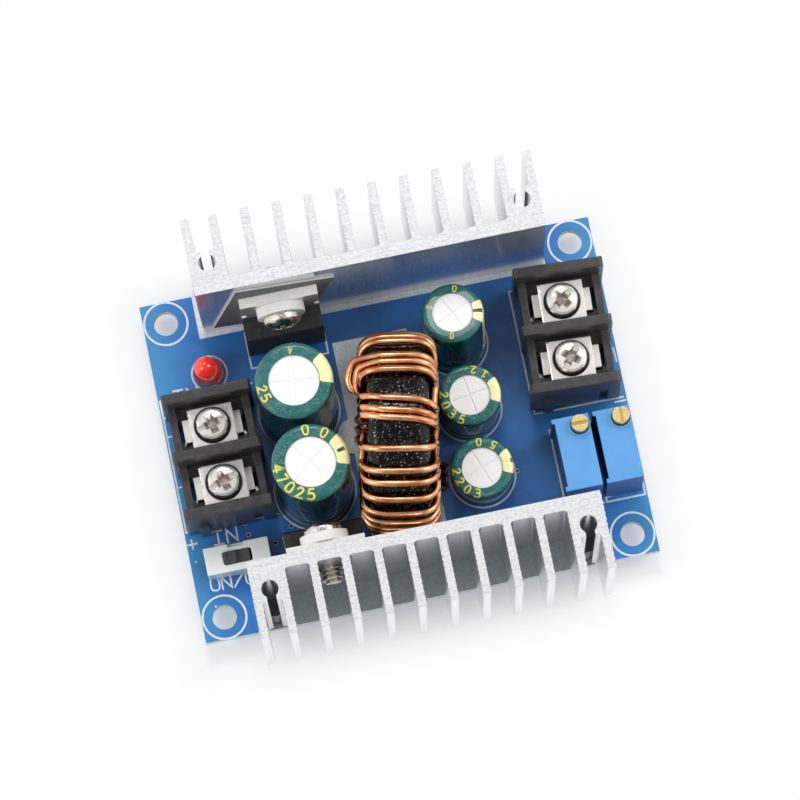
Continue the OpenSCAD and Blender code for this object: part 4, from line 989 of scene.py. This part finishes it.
def cup_shade_look(centre):
    """The look of a clamp plate, with a dark ring painted round its screw as shade in the cup."""
    def look(at):
        parts = nickel_look(at)
        off_x, off_y = at.axis("X") - centre.x / mm, at.axis("Y") - centre.y / mm
        off = (off_x * off_x + off_y * off_y) ** 0.5
        # Painted shade round the screw's head.
        parts["Base Color"] = (1 - off.step(cup_r, cup_rim)).mix(parts["Base Color"], rgb(34, 31, 30))
        return parts
    return look


ways = ("input_positive", "input_negative", "output_negative", "output_positive")
way_centre = {way: (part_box(way + "_screw")[0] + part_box(way + "_screw")[1]) / 2 for way in ways}
dress(finish("nickel", nickel_look), "input_contacts", "output_contacts")
for way in ways:
    dress(finish(way + "_nickel", cup_shade_look(way_centre[way])), way + "_clamp")

# Clamp screws: nickel-plated M3 screws with a cheese head that takes a blade or a cross driver.
# The head is cold headed, with a wide tapered cross and a slot right across; the rolled thread runs up to it.
clamp_head_r, clamp_head_h, clamp_seat_z, clamp_thread = 2.09, 1.78, 9.94, (1.44, 0.28, 6.45, 0.5)
# Points up the side of the head: out from its radius, and height.
clamp_side = ((-0.14, 0.0), (0.0, 0.1), (0.0, 1.2), (-0.12, 1.44), (-0.4, 1.62), (-1.1, 1.74))
clamp_slot, clamp_cross = ((4.6, 0.72), (4.6, 0.6), 0.6), ((2.8, 1.05), (1.1, 0.5), 1.15)
clamp_turns = (20, 14, 52, 38)
# Heights over the seat: below the first the recess is painted darker as shade, and above the second the head
# has its full colour.
clamp_shaded_below, clamp_unshaded_above = 0.8, 1.5


def screw_look(at):
    # Painted shade: the head is darker low in its recesses.
    high = at.axis("Z").step(clamp_seat_z + clamp_shaded_below, clamp_seat_z + clamp_unshaded_above)
    grain = at.noise(1.4, 2.0).step(0.35, 0.7)
    low = grain.mix(rgb(168, 157, 151), rgb(208, 198, 191))
    return {
        "Base Color": high.mix(low, grain.mix(rgb(244, 240, 235), rgb(253, 250, 246))),
        # The upward faces are made less metallic, so the head's top renders lighter: painted light.
        "Metallic": 0.9 - 0.7 * at.facing().step(0.62, 0.95),
        "Roughness": 0.14 + 0.08 * grain,
        "Normal": grain.dent(0.006),
    }


screw_nickel = finish("screw_nickel", screw_look)
clamp_profile = [(0, 0.0)] + [(clamp_head_r + x, z) for x, z in clamp_side] + [(0, clamp_head_h)]
for way, turn in zip(ways, clamp_turns):
    cuts = [wedge(*clamp_slot, clamp_head_h + overcut, turn)]
    cuts += [wedge(*clamp_cross, clamp_head_h + overcut, turn + q) for q in (0, 90)]
    seat = Matrix.Translation((way_centre[way].x, way_centre[way].y, clamp_seat_z * mm))
    whole = bmesh.new()
    add_screw(whole, clamp_profile, cuts, clamp_thread, seat)
    made = piece(way + "_screw_cut", whole, screw_nickel, body=way + "_screw", smooth=False)
    softened(made, 0.06)
    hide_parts(way + "_screw")

# Lamp: a 3 mm red light-emitting diode on two leads, cast in tinted clear epoxy round its lead frame.
# The dome is painted lighter than the flange under it, which is painted darker as shade, and the whole lens
# has a faint painted glow.
lens_flange, lens_crown = 0.8, 1.2


def lens_look(at):
    low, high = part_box("lamp_lens")
    # Painted shade: the flange is painted darker than the dome.
    painted_lit_dome = at.axis("Z").step(low.z / mm + lens_flange, high.z / mm - lens_crown)
    red = painted_lit_dome.mix(rgb(140, 8, 10), at.noise(0.8, 2.0).mix(rgb(246, 44, 28), rgb(254, 64, 42)))
    return {"Base Color": red, "Roughness": 0.05 + 0.06 * at.noise(4.0), "Emission Color": red}


# Emission_Strength gives the whole lens a painted glow.
dress(finish("lamp_red", lens_look, Transmission_Weight=0.08, IOR=1.5, Emission_Strength=0.3,
             Coat_Weight=1.0, Coat_Roughness=0.03), "lamp_lens")

# Slide switch: a steel cover folded over a brown moulded base, with a black nylon slider whose knob stands in
# the cover's slot. Its three pins are soldered to the board.


def cover_look(at):
    rolled = at.stretched(0.6, 8.0, 8.0).noise(1.0)
    cloud = at.noise(0.9, 4.0)
    return {
        "Base Color": cloud.mix(rgb(238, 241, 239), rgb(247, 250, 248)),
        # The upward faces are made less metallic, so they render lighter than the sides: painted light.
        "Metallic": 0.95 - 0.84 * at.facing().step(0.6, 0.95),
        "Roughness": 0.3 + 0.16 * rolled,
        "Normal": rolled.dent(0.012, at.edge(0.2)),
    }


base_look = grained(rgb(70, 58, 44), rgb(98, 84, 64), (8.0, 3.0), (0.5, 0.2), 0.012, 0.1)
slider_look = grained(rgb(58, 58, 60), rgb(84, 84, 86), (9.0, 3.0), (0.4, 0.2), 0.01, 0.15)
dress(finish("switch_steel", cover_look), "switch_frame")
dress(finish("switch_brown", base_look), "switch_base")
dress(finish("slider_black", slider_look), "switch_slider")

# Trimmers: multi-turn potentiometers in blue thermoplastic housings, on three soldered pins each.
# A turned brass screw in the top of each one adjusts it.


def blue_look(at):
    spark = at.noise(9.0)
    tone = at.noise(0.5, 2.0)
    # Painted shade: the sides of each housing are painted darker than its top.
    top = at.facing().step(0.3, 0.9)
    return {
        "Base Color": top.mix(rgb(38, 84, 152), tone.mix(rgb(84, 154, 220), rgb(104, 172, 236))),
        "Roughness": 0.34 + 0.14 * spark,
        "Normal": spark.dent(0.01, at.edge(0.18)),
    }


def brass_look(at):
    turned = at.noise(7.0)
    tone = at.noise(1.5)
    return {
        "Base Color": tone.mix(rgb(244, 208, 130), rgb(254, 234, 172)),
        # The upward faces are made less metallic, so they render lighter than the sides: painted light.
        "Metallic": 1 - 0.42 * at.facing().step(0.6, 0.95),
        "Roughness": 0.16 + 0.18 * turned,
        "Normal": turned.dent(0.02, at.edge(0.1)),
    }


dress(finish("trimmer_blue", blue_look), "voltage_trimmer_housing", "current_trimmer_housing")
dress(finish("trimmer_brass", brass_look), "voltage_trimmer_screw", "current_trimmer_screw")

# Small parts under the board: current-sense resistors, chip resistors and ceramic capacitors.
# They are fired ceramic blocks, glazed or bare, and reflow soldered.
small_parts = {
    "current_shunts": ("shunt_black", rgb(24, 24, 26), rgb(44, 44, 46)),
    "small_resistors": ("resistor_black", rgb(20, 20, 22), rgb(40, 40, 42)),
    "small_capacitors": ("capacitor_tan", rgb(160, 128, 92), rgb(186, 156, 118)),
}
for name, (material, dark, light) in small_parts.items():
    dress(finish(material, grained(dark, light, (4.0, 3.0), (0.4, 0.2), 0.015, 0.1)), name)

# Studio: a white sheet under the board, and a tent that is darker overhead. One softbox stands to each side
# and one hangs behind and above, and the camera is that of the photograph.
floor_half, floor_cells = 3.0, 8
# Half the length and depth of the ground that the part shades, in metres.
shaded_x, shaded_y = 0.03, 0.025
shaded_glow = 0.32
overhead_level, side_level = 0.32, 0.72
white = (1, 1, 1, 1)
scene = bpy.context.scene
floor_mesh = bmesh.new()
bmesh.ops.create_grid(floor_mesh, x_segments=floor_cells, y_segments=floor_cells, size=floor_half)
floor = shown("floor", floor_mesh)
floor.location.z = cad_box[0][2]
sheet = bpy.data.materials.new("white_sheet")
sheet.use_nodes = True
sheet.node_tree.nodes.clear()
start = Shade(sheet.node_tree)
spot = start.node("TexCoord", {}, {}, "Object")
away = start.math("MAXIMUM", abs(spot.axis("X")) - shaded_x, abs(spot.axis("Y")) - shaded_y)
by_camera, by_gloss, by_glass = (start.node("LightPath", {}, {}, "Is " + kind + " Ray")
                                 for kind in ("Camera", "Glossy", "Transmission"))
seen = start.math("MAXIMUM", by_camera, start.math("MAXIMUM", by_gloss, by_glass))
paper = start.node("BsdfDiffuse", {}, {"Color": (0.95, 0.95, 0.95, 1)})
glow = start.node("Emission", {}, {"Color": white, "Strength": 1.0})
share = seen * (shaded_glow + (1 - shaded_glow) * away.step(-0.003, 0.007))
blend = start.node("MixShader", {}, {0: share, 1: paper, 2: glow})
start.node("OutputMaterial", {}, {"Surface": blend}, None)
floor.data.materials.append(sheet)

world = bpy.data.worlds.new("studio")
scene.world = world
world.use_nodes = True
tent = Shade(world.node_tree).node("TexCoord", {}, {}, "Generated")
level = overhead_level + side_level * abs(tent.axis("X")).step(0.12, 0.6)
backdrop = world.node_tree.nodes["Background"]
world.node_tree.links.new(level.socket, backdrop.inputs["Strength"])
backdrop.inputs["Color"].default_value = white

# Place, size and power of each softbox, in metres and watts.
softboxes = {
    "left_softbox": ((-0.34, -0.08, 0.42), 0.2, 0.45),
    "right_softbox": ((0.34, 0.06, 0.42), 0.2, 0.55),
    "top_softbox": ((0.02, 0.3, 0.5), 0.15, 0.75),
}
lit_point = Vector((0, 0, 0.01))
for name, (place, size, power) in softboxes.items():
    lamp = bpy.data.lights.new(name, "AREA")
    lamp.energy, lamp.size = power, size
    made = bpy.data.objects.new(name, lamp)
    made.location = place
    made.rotation_euler = (lit_point - made.location).to_track_quat("-Z", "Y").to_euler()
    scene.collection.objects.link(made)

camera_target, camera_distance = Vector((0.979, 3.656, 1.6)) * mm, 0.694222
camera_height, camera_side, camera_roll = (math.radians(a) for a in (79.114, -7.666, -3.945))
camera_data = bpy.data.cameras.new("camera")
camera_data.lens, camera_data.sensor_width = 239.507, 36
camera_data.clip_start, camera_data.clip_end = 0.05, 20
back = Vector((math.sin(camera_side) * math.cos(camera_height),
               -math.cos(camera_side) * math.cos(camera_height),
               math.sin(camera_height)))
right = (-back).cross(Vector((0, 0, 1))).normalized()
up = right.cross(-back)
rolled_right = right * math.cos(camera_roll) + up * math.sin(camera_roll)
rolled_up = up * math.cos(camera_roll) - right * math.sin(camera_roll)
camera = bpy.data.objects.new("camera", camera_data)
turned = Matrix((rolled_right, rolled_up, back)).transposed().to_4x4()
camera.matrix_world = Matrix.Translation(camera_target + back * camera_distance) @ turned
scene.collection.objects.link(camera)
scene.camera = camera
scene.view_settings.view_transform = "Standard"
